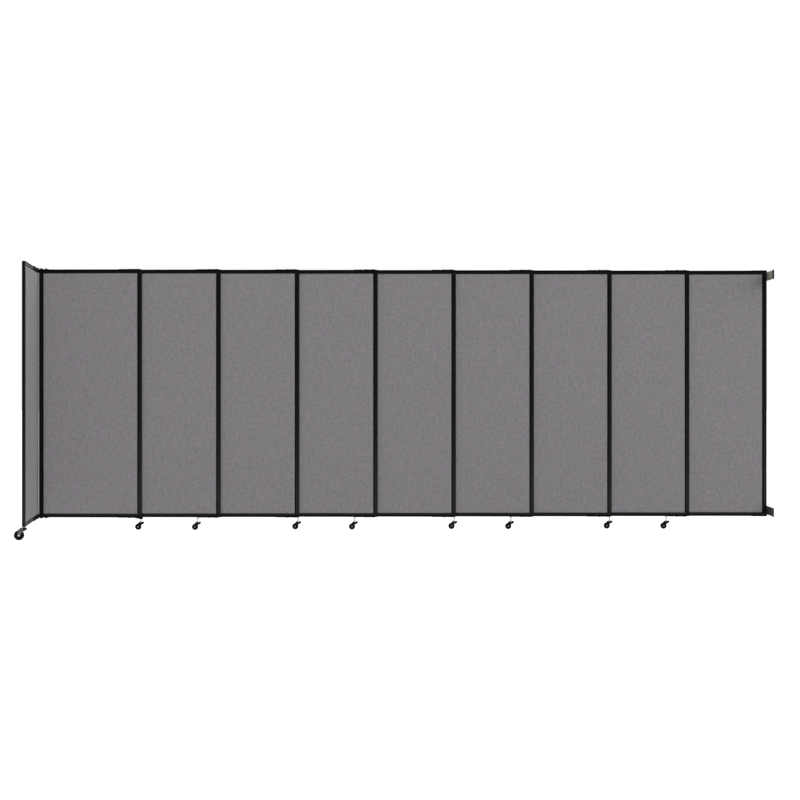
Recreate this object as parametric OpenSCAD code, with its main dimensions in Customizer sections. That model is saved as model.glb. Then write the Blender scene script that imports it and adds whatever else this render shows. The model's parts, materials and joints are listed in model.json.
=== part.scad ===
// Sliding partition on casters: a run of framed fabric panels that slide one behind the next along
// grooves in their top and bottom rails, fixed to a wall at one end and closed by a hinged panel at
// the other. Millimetres; +X runs along the panels to the wall, +Y points away from the viewer, +Z is
// up. The origin is on the floor, in the middle of the whole part's outline. Panel 1 is nearest to
// the viewer and carries the hinged end panel; the last panel stands against the wall.

/* [Panels] */
// Number of sliding panels
panel_count = 9; // [2:1:9]
// Width of each panel
panel_width = 826; // [600:1:1000]
// Height of each panel's frame
panel_height = 1981; // [1000:1:2400]
// Thickness of each panel's frame
panel_thick = 24; // [24:1:32]
// Space between a panel's bottom edge and the floor
floor_gap = 102; // [101:1:130]
// Clear gap between the faces of neighbouring panels
face_gap = 6; // [4:1:12]

/* [Frames] */
// Face width of an upright stile
stile_width = 36; // [30:1:50]
// Height of a top rail
top_rail_height = 31; // [28:1:45]
// Height of a bottom rail
bottom_rail_height = 29; // [28:1:45]
// Wall of the hollow stiles
stile_wall = 2; // [1.5:0.1:3]
// Thickness of the fabric-covered board
board_thick = 14; // [10:0.5:16]
// Depth by which the board's edges sit in the frame
board_bite = 8; // [5:0.5:9]
// Room left beyond the board's edge in its channel
channel_room = 2; // [0.5:0.5:4]
// Clearance between the board and each side of its channel
board_play = 0.2; // [0.1:0.05:0.3]
// Hairline between pieces that are cut and joined
hairline = 0.1; // [0.05:0.01:0.2]

/* [Slide grooves] */
// Width of each slide groove
groove_width = 4; // [3.5:0.1:5]
// Depth of each slide groove
groove_depth = 10; // [8:0.5:12]
// Wall between a groove and the rail's face
groove_wall = 2; // [1.5:0.1:2.5]

/* [Slide brackets] */
// Length of the bracket at a panel's right end, which reaches back
rear_bracket_length = 97; // [60:1:120]
// Distance of that bracket from the panel's right edge
rear_bracket_inset = 20; // [5:1:40]
// Length of the bracket at a panel's left end, which reaches forward
front_bracket_length = 72; // [50:1:120]
// Distance of that bracket from the panel's left edge
front_bracket_inset = 5; // [3:1:20]
// Thickness of the bracket's steel plate
bracket_plate = 3; // [2:0.5:4]
// Height of the plate above the rail that it slides along
bracket_lift = 0.5; // [0.4:0.1:1]
// Gap between two brackets when the panels are pulled right out
stop_gap = 5; // [2:1:10]
// Gap between the sliding edge of a plate and the rail's middle web
web_gap = 0.5; // [0.3:0.1:1]
// Gap between two plates that pass each other on one rail
pass_gap = 1.5; // [0.5:0.1:3]
// Clearance on each side of the nylon tongue in its groove
tongue_play = 0.3; // [0.3:0.05:0.5]
// Clearance under the tongue
tongue_float = 2; // [0.5:0.5:3]
// Distance from the tongue's ends to the plate's ends
tongue_inset = 8; // [4:1:15]
// Diameter of the screw heads
screw_head_d = 8.5; // [7:0.5:9]
// Height of the screw heads
screw_head_h = 2.7; // [2:0.1:4]
// Distance from a plate's end to its screw
screw_inset = 17; // [10:1:22]
// Length of the foot under the first panel's right end
foot_length = 67; // [50:1:80]
// Depth of that foot at its lowest point
foot_drop = 16; // [8:1:20]
// Distance by which the foot passes the panel's right edge
foot_overhang = 7; // [0:1:8]
// Width of the foot, front to back
foot_width = 11; // [8:1:12]

/* [Hinge] */
// Angle between the end panel and the first panel as photographed
end_angle = 82; // [60:1:100]
// Distance from the hinge pin to the end panel's inner face
end_offset = 19.5; // [19:0.5:30]
// Distance from the hinge pin to the end panel's near edge
end_setback = 14; // [13:1:30]
// Diameter of the hinge pin
pin_d = 8; // [6:0.5:9]
// Depth of the hinge pin in the rail
pin_depth = 14; // [8:1:18]
// Diameter of the hinge pin's head
pin_head_d = 15; // [12:1:17]
// Height of the hinge pin's head
pin_head_h = 3; // [2:0.5:6]
// Radial clearance of turning and drilled fits
turn_play = 0.05; // [0.02:0.01:0.09]
// Gap left along the axis of a joint between the pieces that turn
end_play = 0.5; // [0.3:0.1:1]
// Thickness of the hinge plate on the first panel
hinge_plate = 3; // [2:0.5:3]
// Length of the hinge plate on the first panel
hinge_plate_length = 70; // [60:1:90]
// Distance from the hinge pin to the fixing bolt
hinge_bolt_x = 39; // [30:1:44]
// Size of the fixing bolt's hexagon, across its corners
bolt_head_d = 14; // [10:1:14]
// Height of the fixing bolt's hexagon
bolt_head_h = 5.3; // [3:0.1:8]
// Thickness of the hinge arm on the end panel
arm_plate = 3; // [2:0.5:5]
// Radius of the hinge arm round the pin
arm_radius = 8.5; // [7:0.5:10]
// Width of the hinge arm where it crosses to the end panel
arm_neck = 12; // [8:1:14]
// Length of the hinge arm's foot on the angle bar
arm_foot = 66; // [40:1:90]
// Length of the hinge arm's angle bar along the end panel
strap_length = 300; // [100:1:500]
// Depth of the angle bar's leg on the end panel's inner face
strap_drop = 25; // [15:1:30]
// Thickness of the angle bar's leg
strap_thick = 3; // [2:0.5:4]

/* [Small casters] */
// Distance from a panel's ends to its casters
caster_inset = 185; // [150:1:280]
// Diameter of a small wheel
small_wheel_d = 50; // [40:1:50]
// Width of a small wheel
small_wheel_w = 17; // [12:1:18]
// Distance by which a small wheel trails behind its stem
small_trail = 22; // [18:1:24]
// Height of a small caster's head above the floor, at its top
small_head_top = 65; // [64:1:72]
// Height of a small caster's head
small_head_h = 13; // [9:1:13]
// Diameter of a small caster's head
small_head_d = 30; // [26:1:32]
// Diameter of a small caster's stem
small_stem_d = 8; // [6:0.5:9]
// Depth of the stems in the bottom rail
stem_grip = 14; // [8:1:17]
// Thickness of a small fork's cheeks
small_cheek = 2.5; // [2:0.5:3]
// Diameter of a small axle
small_axle_d = 6; // [5:0.5:8]
// Diameter of a small axle's caps
small_axle_cap_d = 12; // [9:1:14]
// Radius of a small fork's boss round its axle
small_boss_r = 8; // [7:0.5:9]
// Thickness of the caps on every axle
axle_cap_h = 2; // [1:0.5:3]
// Size of the nuts on a small stem, across their corners
stem_nut_d = 14; // [12:1:15]
// Height of the nuts on a small stem
stem_nut_h = 6; // [4:0.5:7]
// Diameter of the spacer between the rail and the nut
spacer_d = 10; // [9:0.5:10]
// Height of the spacer between the rail and the nut
spacer_h = 6; // [5:0.5:8]

/* [End caster] */
// Distance from the end panel's free end to its caster
end_caster_inset = 45; // [40:1:80]
// Diameter of the end wheel
end_wheel_d = 75; // [60:1:76]
// Width of the end wheel
end_wheel_w = 26; // [20:1:27]
// Distance by which the end wheel trails behind its stem
end_trail = 38; // [34:1:42]
// Height of the end caster's head
end_head_h = 18; // [12:1:18]
// Diameter of the end caster's head
end_head_d = 29; // [27:1:30]
// Diameter of the end caster's stem
end_stem_d = 10; // [8:0.5:11]
// Thickness of the end fork's cheeks
end_cheek = 3; // [2:0.5:4]
// Diameter of the end caster's axle
end_axle_d = 8; // [6:0.5:10]
// Diameter of the end axle's caps
end_axle_cap_d = 14; // [12:1:18]
// Radius of the end fork's boss round its axle
end_boss_r = 12; // [10:0.5:14]
// Thickness of the end fork's crown, which holds the head
end_crown_h = 4; // [3:0.5:5]
// Diameter of the sleeve between the end panel and its caster
end_sleeve_d = 18; // [14:1:20]
// Height of the end caster's head above the floor, below the panel's bottom edge
end_head_gap = 7; // [5:1:10]
// Gap between a wheel and each cheek of its fork
wheel_gap = 0.8; // [0.5:0.1:1.5]
// Gap between a wheel's tread and its fork
tread_gap = 2; // [1:0.5:3]

/* [Wall brackets] */
// Thickness of a wall bracket's plate
wall_plate = 4; // [3:0.5:6]
// Height of a wall bracket's plate
wall_plate_height = 70; // [50:1:120]
// Distance from a panel's top or bottom edge to the plate
wall_plate_inset = 13; // [5:1:30]
// Depth of the lip that covers the closed panels' edges
wall_lip = 10; // [5:1:20]
// Gap between that lip and the first panel's face
wall_lip_gap = 3; // [1:1:10]
// Diameter of the wall screws' holes
wall_hole_d = 6.5; // [4:0.5:9]
// Distance between the wall screws' holes, front to back
wall_hole_run = 190; // [100:1:200]
// Distance between the wall screws' holes, up and down
wall_hole_rise = 40; // [25:1:46]

/* [Hidden] */
$fn = 48;
overlap = rear_bracket_inset + rear_bracket_length + stop_gap + front_bracket_length + front_bracket_inset;
pitch = panel_width - overlap;
step = panel_thick + face_gap;
run_length = (panel_count - 1) * pitch + panel_width;
panel_top = floor_gap + panel_height;
half_thick = panel_thick / 2;

channel_width = board_thick + 2 * board_play;
channel_depth = board_bite + channel_room;
stile_height = panel_height - top_rail_height - bottom_rail_height - 2 * hairline;

// Middle of a groove, measured from the panel's middle plane, and half of the web between grooves
groove_y = half_thick - groove_wall - groove_width / 2;
web_half = groove_y - groove_width / 2;
// Edges of the bracket's plate: over the next rail's near groove, and over its own rail
slide_edge = web_half - web_gap;
own_edge = slide_edge - pass_gap;
bracket_reach = step - slide_edge;
bracket_top = bracket_lift + bracket_plate;
screw_y = (screw_head_d / 2 - own_edge) + 0.25;

pin_x = stile_width / 2;
// Edges of the hinge plate, front and rear, a little inside the rail's
hinge_front = half_thick - 1;
hinge_rear = slide_edge - 1;
// The arm passes over the front brackets of the next panel when the run is closed
arm_z = max(hinge_plate, bracket_top) + end_play;
pin_head_z = arm_z + arm_plate + end_play;
arm_near = end_offset - strap_thick;
arm_far = end_offset + panel_thick - strap_thick;
arm_start = end_setback + 4;

small_fork_half = small_wheel_w / 2 + wheel_gap + small_cheek;
small_head_bottom = small_head_top - small_head_h;
// Floor of the blind hole in a head, above its underside
bore_floor = 4;
small_bore_z = small_head_bottom + bore_floor;
nut_gap = 1;
// Where a neck meets its head, behind and in front of the stem
small_neck = [13, 9];
end_neck = [27, -3];

end_head_top = floor_gap - end_head_gap;
end_head_bottom = end_head_top - end_head_h;
end_fork_half = max(end_head_d / 2, end_wheel_w / 2 + wheel_gap) + end_cheek + 0.1;
end_bore_z = end_head_bottom + bore_floor;
end_stem_x = end_setback + panel_width - end_caster_inset;

wall_plate_front = -half_thick - wall_lip_gap - wall_plate;
wall_plate_rear = (panel_count - 1) * step + half_thick;
wall_hole_y = (wall_plate_front + wall_plate_rear) / 2;
wall_hole_z = -wall_plate_inset - wall_plate_height / 2;
wall_arm_front = wall_plate_rear - half_thick - own_edge;

// Edges of the whole part seen from above, which put the origin in its middle
end_far = end_setback + panel_width;
end_back = end_offset + panel_thick;
end_reach = min(end_setback * cos(end_angle), end_far * cos(end_angle));
left_edge = min(0, pin_x + end_reach - end_back * sin(end_angle));
right_edge = run_length + wall_plate;
front_edge = -end_far * sin(end_angle) - end_back * max(0, cos(end_angle));
centre = [(left_edge + right_edge) / 2, (front_edge + wall_plate_rear) / 2];

frame_black = [0.14, 0.14, 0.145];
fabric_grey = [0.48, 0.475, 0.485];
steel_black = [0.08, 0.08, 0.08];
caster_black = [0.06, 0.06, 0.06];
zinc = [0.72, 0.72, 0.7];
wall_grey = [0.48, 0.49, 0.47];

carried = [for (i = [1:panel_count]) if (i % 2 == 0) i];
ends = ["left", "right"];
function caster_x(end) = end == "left" ? caster_inset : panel_width - caster_inset;

// Sets the run's own corner, the first panel's left edge, where the origin needs it
module in_place() {
    translate([-centre[0], -centre[1], 0]) children();
}

// Sets a piece on sliding panel i, pulled right out
module on_panel(i) {
    in_place() translate([(i - 1) * pitch, (i - 1) * step, 0]) children();
}

// Sets a piece on the end panel, whose own frame turns about the hinge pin
module on_end_panel() {
    in_place() translate([pin_x, 0, 0]) rotate([0, 0, -end_angle]) children();
}

// Repeats a piece that sits on the top edge of a panel at its bottom edge, upside down
module top_and_bottom() {
    translate([0, 0, panel_top]) children();
    translate([0, 0, floor_gap]) mirror([0, 0, 1]) children();
}

// A rail with its outer face at z = 0, its two slide grooves and the channel for the board
module rail(height) {
    difference() {
        translate([0, -half_thick, -height]) cube([panel_width, panel_thick, height]);
        for (side = [-1, 1]) {
            translate([-1, side * groove_y - groove_width / 2, -groove_depth])
                cube([panel_width + 2, groove_width, groove_depth + 1]);
        }
        translate([stile_width - channel_depth, -channel_width / 2, -height - 1])
            cube([panel_width - 2 * (stile_width - channel_depth), channel_width, channel_depth + 1]);
    }
}

// A left stile, hollow, with the board's channel on its inner side
module stile() {
    linear_extrude(stile_height) difference() {
        translate([0, -half_thick]) square([stile_width, panel_thick]);
        translate([stile_width - channel_depth, -channel_width / 2])
            square([channel_depth + 1, channel_width]);
        translate([stile_wall, stile_wall - half_thick])
            square([stile_width - channel_depth - 2 * stile_wall, panel_thick - 2 * stile_wall]);
    }
}

// The four extrusions of one frame, with holes for caster stems and for hinge pins
module frame(stems = [], stem_d = small_stem_d, pins = []) {
    difference() {
        translate([0, 0, panel_top]) rail(top_rail_height);
        for (x = pins) {
            translate([x, 0, panel_top - pin_depth - hairline])
                cylinder(d = pin_d + 2 * turn_play, h = pin_depth + 1);
        }
    }
    difference() {
        translate([0, 0, floor_gap]) mirror([0, 0, 1]) rail(bottom_rail_height);
        for (x = stems) {
            translate([x, 0, floor_gap - 1])
                cylinder(d = stem_d + 2 * turn_play, h = stem_grip + 1 + hairline);
        }
        for (x = pins) {
            translate([x, 0, floor_gap - 1])
                cylinder(d = pin_d + 2 * turn_play, h = pin_depth + 1 + hairline);
        }
    }
    translate([0, 0, floor_gap + bottom_rail_height + hairline]) {
        stile();
        translate([panel_width, 0, 0]) mirror([1, 0, 0]) stile();
    }
}

module panel_frame(i) {
    color(frame_black) on_panel(i)
        frame(stems = i % 2 == 0 ? [for (end = ends) caster_x(end)] : [], pins = i == 1 ? [pin_x] : []);
}

// The board stands on the floor of the bottom rail's channel
module board() {
    side = stile_width - board_bite;
    bottom = floor_gap + bottom_rail_height - channel_depth;
    top = panel_top - top_rail_height + board_bite;
    translate([side, -board_thick / 2, bottom]) cube([panel_width - 2 * side, board_thick, top - bottom]);
}

module panel_infill(i) {
    color(fabric_grey) on_panel(i) board();
}

// A slide bracket on the top edge of its own panel: a stepped plate with two screw heads, and a
// nylon tongue that hangs in the near groove of the next panel behind
module slide_bracket(length) {
    rotate([90, 0, 90]) linear_extrude(length) polygon([
        [-own_edge, 0],
        [half_thick, 0],
        [half_thick, bracket_lift],
        [bracket_reach, bracket_lift],
        [bracket_reach, bracket_top],
        [-own_edge, bracket_top],
    ]);
    for (x = [screw_inset, length - screw_inset]) {
        translate([x, screw_y, bracket_lift]) cylinder(d = screw_head_d, h = bracket_plate + screw_head_h);
    }
    tongue_width = groove_width - 2 * tongue_play;
    tongue_height = groove_depth - tongue_float + bracket_lift - hairline;
    translate([tongue_inset, step - groove_y - tongue_width / 2, tongue_float - groove_depth])
        cube([length - 2 * tongue_inset, tongue_width, tongue_height]);
}

// The foot that hangs under the first panel's right end, fused to the bracket there
module foot() {
    rise = bracket_top / 2;
    rotate([90, 0, 0]) translate([0, 0, -foot_width]) linear_extrude(foot_width) polygon([
        [foot_overhang - foot_length, -hairline],
        [foot_overhang - foot_length, -bracket_top],
        [foot_overhang - 0.85 * foot_length, -foot_drop / 2],
        [foot_overhang - 0.6 * foot_length, -foot_drop / 2 - rise / 2],
        [foot_overhang - 0.4 * foot_length, -foot_drop + rise * 2],
        [foot_overhang - 0.25 * foot_length, -foot_drop],
        [foot_overhang - 0.1 * foot_length, -foot_drop + rise],
        [foot_overhang, -foot_drop / 3],
        [foot_overhang, -hairline],
    ]);
}

module panel_brackets(i) {
    color(steel_black) on_panel(i) {
        if (i < panel_count) {
            top_and_bottom()
                translate([panel_width - rear_bracket_inset - rear_bracket_length, 0, 0])
                    slide_bracket(rear_bracket_length);
        }
        if (i > 1) {
            top_and_bottom()
                translate([front_bracket_inset, 0, 0]) mirror([0, 1, 0]) slide_bracket(front_bracket_length);
        }
        if (i == 1) {
            translate([panel_width, 0, floor_gap]) foot();
        }
    }
}

// Hinge plate on the first panel's edge, drilled for the pin, with the head of its fixing bolt
module hinge_plates() {
    color(steel_black) on_panel(1) top_and_bottom() {
        difference() {
            translate([pin_x - half_thick, -hinge_front, 0])
                cube([hinge_plate_length, hinge_front + hinge_rear, hinge_plate]);
            translate([pin_x, 0, -1]) cylinder(d = pin_d + 2 * turn_play, h = hinge_plate + 2);
        }
        translate([pin_x + hinge_bolt_x, (hinge_rear - hinge_front) / 2, hinge_plate / 2])
            cylinder(d = bolt_head_d, h = hinge_plate / 2 + bolt_head_h, $fn = 6);
    }
}

module hinge_pins() {
    color(steel_black) on_panel(1) top_and_bottom() translate([pin_x, 0, 0]) {
        translate([0, 0, -pin_depth]) cylinder(d = pin_d, h = pin_depth + pin_head_z);
        translate([0, 0, pin_head_z]) cylinder(d = pin_head_d, h = pin_head_h);
    }
}

// Hinge arm: an angle bar along the end panel's rail and a plate from it to the pin
module hinge_arms() {
    color(steel_black) on_end_panel() top_and_bottom() {
        translate([arm_start, -arm_far, 0]) cube([strap_length, arm_far - arm_near, arm_z]);
        translate([arm_start, -end_offset, -strap_drop])
            cube([strap_length, strap_thick, strap_drop + arm_z]);
        translate([0, 0, arm_z]) difference() {
            union() {
                cylinder(r = arm_radius, h = arm_plate);
                linear_extrude(arm_plate) polygon([
                    [-arm_radius, 0],
                    [arm_start, -arm_far],
                    [arm_start + arm_foot, -arm_far],
                    [arm_start + arm_foot, -arm_near],
                    [arm_start + arm_neck, -arm_near],
                    [arm_radius, 0],
                ]);
                translate([arm_start, -arm_far, -arm_z / 2])
                    cube([arm_foot, arm_far - arm_near, arm_z / 2 + arm_plate]);
            }
            translate([0, 0, -arm_z]) cylinder(d = pin_d + 2 * turn_play, h = arm_z + arm_plate + 1);
        }
    }
}

module end_frame() {
    color(frame_black) on_end_panel()
        translate([end_setback, -end_offset - half_thick, 0])
            frame(stems = [panel_width - end_caster_inset], stem_d = end_stem_d);
}

module end_infill() {
    color(fabric_grey) on_end_panel() translate([end_setback, -end_offset - half_thick, 0]) board();
}

// Side outline of a caster's neck, from the boss round its axle up to the head
module neck_outline(axle, boss_r, top_z, neck) {
    run = [(neck[1] - neck[0]) / 2 - axle[0], top_z - axle[1]];
    side = boss_r * [-run[1], run[0]] / norm(run);
    translate(axle) circle(r = boss_r);
    polygon([axle + side, [-neck[0], top_z], [neck[1], top_z], axle - side]);
}

// Turns an outline drawn seen from the front into a plate, centred on the caster's middle plane
module upright(width) {
    rotate([90, 0, 0]) linear_extrude(width, center = true) children();
}

// A wheel round its axle, standing on the floor
module wheel(trail, wheel_d, wheel_w, axle_d) {
    edge = wheel_w / 6;
    translate([-trail, 0, wheel_d / 2]) rotate([90, 0, 0]) rotate_extrude() polygon([
        [axle_d / 2 + turn_play, -wheel_w / 2],
        [wheel_d / 2 - edge, -wheel_w / 2],
        [wheel_d / 2, -wheel_w / 2 + edge],
        [wheel_d / 2, wheel_w / 2 - edge],
        [wheel_d / 2 - edge, wheel_w / 2],
        [axle_d / 2 + turn_play, wheel_w / 2],
    ]);
}

// An axle with a cap on the outside of each cheek
module axle(trail, wheel_d, axle_d, cap_d, half_width) {
    translate([-trail, 0, wheel_d / 2]) rotate([90, 0, 0]) {
        cylinder(d = axle_d, h = 2 * half_width + axle_cap_h, center = true);
        for (side = [-1, 1]) {
            translate([0, 0, side * (half_width + hairline + axle_cap_h / 2)])
                cylinder(d = cap_d, h = axle_cap_h, center = true);
        }
    }
}

// Swivel fork of a small caster: two cheeks, the neck that joins them over the wheel, and the head
module small_fork() {
    at = [-small_trail, small_wheel_d / 2];
    neck_top = small_head_bottom + 2;
    difference() {
        union() {
            for (side = [-1, 1]) {
                translate([0, side * (small_fork_half - small_cheek / 2), 0])
                    upright(small_cheek) neck_outline(at, small_boss_r, neck_top, small_neck);
            }
            upright(2 * small_fork_half) difference() {
                neck_outline(at, small_boss_r, neck_top, small_neck);
                translate(at) circle(d = small_wheel_d + 2 * tread_gap);
            }
            translate([0, 0, small_head_bottom]) cylinder(d = small_head_d, h = small_head_h);
        }
        translate([0, 0, small_bore_z]) cylinder(d = small_stem_d + 2 * turn_play, h = small_head_h);
        translate([at[0], 0, at[1]]) rotate([90, 0, 0])
            cylinder(d = small_axle_d + 2 * turn_play, h = 4 * small_fork_half, center = true);
    }
    axle(small_trail, small_wheel_d, small_axle_d, small_axle_cap_d, small_fork_half);
}

// Threaded stem of a small caster with its lower nut, upper nut and spacer
module small_stem() {
    foot_z = small_bore_z + end_play;
    translate([0, 0, foot_z]) cylinder(d = small_stem_d, h = floor_gap + stem_grip - foot_z);
    translate([0, 0, small_head_top + nut_gap]) cylinder(d = stem_nut_d, h = stem_nut_h, $fn = 6);
    translate([0, 0, floor_gap - spacer_h - stem_nut_h]) cylinder(d = stem_nut_d, h = stem_nut_h, $fn = 6);
    translate([0, 0, floor_gap - spacer_h - 1]) cylinder(d = spacer_d, h = spacer_h + 1);
}

module on_small_caster(i, end) {
    on_panel(i) translate([caster_x(end), 0, 0]) children();
}

module panel_caster_stems(i) {
    color(zinc) for (end = ends) on_small_caster(i, end) small_stem();
}

module panel_fork(i, end) {
    color(caster_black) on_small_caster(i, end) small_fork();
}

module panel_wheel(i, end) {
    color(caster_black) on_small_caster(i, end)
        wheel(small_trail, small_wheel_d, small_wheel_w, small_axle_d);
}

// Sets a piece on the end caster, whose wheel trails square to the end panel
module on_end_caster() {
    on_end_panel() translate([end_stem_x, -end_offset - half_thick, 0]) rotate([0, 0, 90]) children();
}

module end_stem() {
    foot_z = end_bore_z + end_play;
    color(zinc) on_end_caster() {
        translate([0, 0, foot_z]) cylinder(d = end_stem_d, h = floor_gap + stem_grip - foot_z);
        translate([0, 0, end_head_top + end_play])
            cylinder(d = end_sleeve_d, h = floor_gap - end_head_top - end_play);
    }
}

module end_head() {
    color(caster_black) on_end_caster() difference() {
        translate([0, 0, end_head_bottom]) cylinder(d = end_head_d, h = end_head_h);
        translate([0, 0, end_bore_z]) cylinder(d = end_stem_d + 2 * turn_play, h = end_head_h);
    }
}

// Fork of the end caster: two cheeks beside the head, joined by a crown that holds the head
module end_fork() {
    at = [-end_trail, end_wheel_d / 2];
    cheek_top = end_head_top - 2;
    crown_z = end_head_bottom + 3;
    crown_back = end_neck[0] - 1;
    seat = end_head_d / 2 + hairline;
    color(zinc) on_end_caster() difference() {
        union() {
            for (side = [-1, 1]) {
                translate([0, side * (end_fork_half - end_cheek / 2), 0])
                    upright(end_cheek) neck_outline(at, end_boss_r, cheek_top, end_neck);
            }
            translate([-crown_back, -end_fork_half, crown_z])
                cube([crown_back + end_neck[1] + seat / 2, 2 * end_fork_half, end_crown_h]);
        }
        translate([0, 0, crown_z - 1]) cylinder(r = seat, h = end_crown_h + 2);
        translate([at[0], 0, at[1]]) rotate([90, 0, 0])
            cylinder(d = end_axle_d + 2 * turn_play, h = 4 * end_fork_half, center = true);
    }
}

module end_axle() {
    color(zinc) on_end_caster() axle(end_trail, end_wheel_d, end_axle_d, end_axle_cap_d, end_fork_half);
}

module end_wheel() {
    color(caster_black) on_end_caster() wheel(end_trail, end_wheel_d, end_wheel_w, end_axle_d);
}

// Wall bracket with its origin at the last panel's right edge, on the outer face of the rail: a
// plate on the wall, a lip over the closed panels' edges and an arm screwed to the last panel
module wall_bracket() {
    arm = rear_bracket_inset + rear_bracket_length;
    arm_width = wall_plate_rear - wall_arm_front;
    depth = wall_plate_rear - wall_plate_front;
    difference() {
        translate([0, wall_plate_front, -wall_plate_inset - wall_plate_height])
            cube([wall_plate, depth, wall_plate_height]);
        for (y = [-1, 1], z = [-1, 1]) {
            translate([-1, wall_hole_y + y * wall_hole_run / 2, wall_hole_z + z * wall_hole_rise / 2])
                rotate([0, 90, 0]) cylinder(d = wall_hole_d, h = wall_plate + 2);
        }
    }
    translate([-wall_lip, wall_plate_front, -wall_plate_inset - wall_plate_height])
        cube([wall_lip + wall_plate, wall_plate, wall_plate_height]);
    translate([0, wall_arm_front, -wall_plate_inset - 1])
        cube([wall_plate, arm_width, wall_plate_inset + 1 + bracket_plate]);
    translate([-arm, wall_arm_front, 0]) cube([arm + wall_plate, arm_width, bracket_plate]);
    for (x = [screw_inset, rear_bracket_length - screw_inset]) {
        translate([x - arm, wall_plate_rear - half_thick + screw_y, 0])
            cylinder(d = screw_head_d, h = bracket_plate + screw_head_h);
    }
}

module wall_brackets() {
    color(wall_grey) in_place() translate([run_length, 0, 0]) top_and_bottom() wall_bracket();
}

wall_brackets();
for (i = [1:panel_count]) {
    panel_frame(i);
    panel_infill(i);
    panel_brackets(i);
}
for (i = carried) {
    panel_caster_stems(i);
    for (end = ends) {
        panel_fork(i, end);
        panel_wheel(i, end);
    }
}
hinge_plates();  // panel_1_hinge_plates
hinge_pins();
end_frame();  // end_panel_frame
end_infill();  // end_panel_infill
hinge_arms();  // end_panel_hinge_arms
end_stem();  // end_caster_stem
end_head();  // end_caster_head
end_fork();  // end_caster_fork
end_axle();  // end_caster_axle
end_wheel();  // end_caster_wheel
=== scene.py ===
import json
import math

import bmesh
import bpy
from mathutils import Matrix, Vector, noise


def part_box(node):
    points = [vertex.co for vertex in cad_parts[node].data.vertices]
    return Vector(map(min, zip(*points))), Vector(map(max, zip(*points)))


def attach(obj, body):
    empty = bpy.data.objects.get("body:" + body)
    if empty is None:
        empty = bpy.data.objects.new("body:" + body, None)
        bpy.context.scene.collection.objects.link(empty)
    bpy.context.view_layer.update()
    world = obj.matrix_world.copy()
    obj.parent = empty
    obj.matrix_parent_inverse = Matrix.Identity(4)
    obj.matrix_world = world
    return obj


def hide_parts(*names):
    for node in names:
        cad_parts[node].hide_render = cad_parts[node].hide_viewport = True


# A sliding partition: nine framed fabric panels that run one behind the next, a hinged end panel,
# swivel casters and two wall brackets. Sizes here are in millimetres; SCALE turns them to metres.

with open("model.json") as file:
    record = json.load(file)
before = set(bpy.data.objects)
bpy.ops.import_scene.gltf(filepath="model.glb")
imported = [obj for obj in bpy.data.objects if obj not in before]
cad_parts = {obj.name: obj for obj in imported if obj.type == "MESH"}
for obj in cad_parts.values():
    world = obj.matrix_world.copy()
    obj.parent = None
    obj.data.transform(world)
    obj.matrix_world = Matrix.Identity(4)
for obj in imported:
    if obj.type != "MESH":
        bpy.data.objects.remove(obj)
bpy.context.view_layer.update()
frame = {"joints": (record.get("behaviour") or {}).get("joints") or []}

SCALE = 0.001
LAST = 9
PANELS = range(1, LAST + 1)
CARRIED = [2, 4, 6, 8]
SIDES = ["left", "right"]

# One panel, the step from it to the next, and the members of its frame
WIDTH, THICK, BOTTOM, TOP, STEP = 826, 24, 102, 2083, 30
STILE, TOP_RAIL, BOTTOM_RAIL, HAIRLINE, CAP = 36, 31, 29, 0.1, 1.6
# The board, the swell of its cloth, its channel, and the stiles' inner strip beside it, painted near black
# as shade
BOARD_THICK, BOARD_EDGE, SWELL = 14, 28, 3.4
CHANNEL_WIDTH, CHANNEL_DEPTH, INNER_STRIP = 14.4, 10, 9
# A rail's slide grooves, measured from its middle, and the track beside them, set back a little
GROOVE_FROM, GROOVE_TO, GROOVE_DEPTH = 6, 10, 10
TRACK_HEIGHT, TRACK_SETBACK = 13, 0.7
# The low screw at a frame's free corner
CORNER_SCREW_X, CORNER_SCREW_WIDTH, CORNER_SCREW_HEIGHT = WIDTH - 14, 7.0, 0.9

# Slide brackets: where they are, their plates and screws, and the tongues under them
REAR_FROM, REAR_LENGTH, FRONT_FROM, FRONT_LENGTH = 709, 97, 5, 72
PLATE_LIFT, PLATE, OWN_EDGE, REACH, SCREW_INSET, SCREW_Y = 0.5, 3, 4, 24.5, 17, 0.5
SCREW_WIDTH, SCREW_HEIGHT = 8.5, 2.7
TONGUE_INSET, TONGUE_HALF, TONGUE_DEPTH = 8, 1.7, 8
FOOT_LENGTH, FOOT_DROP, FOOT_PAST, FOOT_WIDTH = 67, 16, 7, 11

# Hinge: the pin and bolt on the first panel, and the arms and angle bars on the end panel
PIN_X, END_SETBACK, END_OFFSET = 18, 14, 19.5
BOLT_X, BOLT_Y, WASHER_TOP, BOLT_WIDTH, BOLT_HEIGHT = 57, -3.25, 4.2, 13.8, 4.1
ARM_START, ARM_FOOT, ARM_NECK, ARM_NEAR, ARM_FAR, ARM_Z, ARM_EYE = 18, 66, 12, 16.5, 40.5, 4, 8.5
STRAP_LENGTH, STRAP_DROP = 300, 25
HINGE_SCREW_WIDTH, HINGE_SCREW_HEIGHT = 7.5, 2.4

# Stems under the panels: their distance from a panel's edge, and heights above the floor
STEM_INSET, STEM_TOP, SPACER_TOP, THREAD_FROM, LOW_NUT, HIGH_NUT = 185, 116, 101.95, 65.2, 66, 90
NUT_WIDTH, NUT_HEIGHT = 13.9, 5.9

# Wall brackets: the plates, their lips and arms, and their screw holes, from the panel's edge
WALL_PLATE, WALL_TOP, WALL_BOTTOM, WALL_ARM_WIDTH, LIP, ARM_DROP = 4, -13, -83, 16, 10, -14
HOLE_RADIUS, HOLE_Y, HOLE_Z = 3.25, 95, 20

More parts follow.
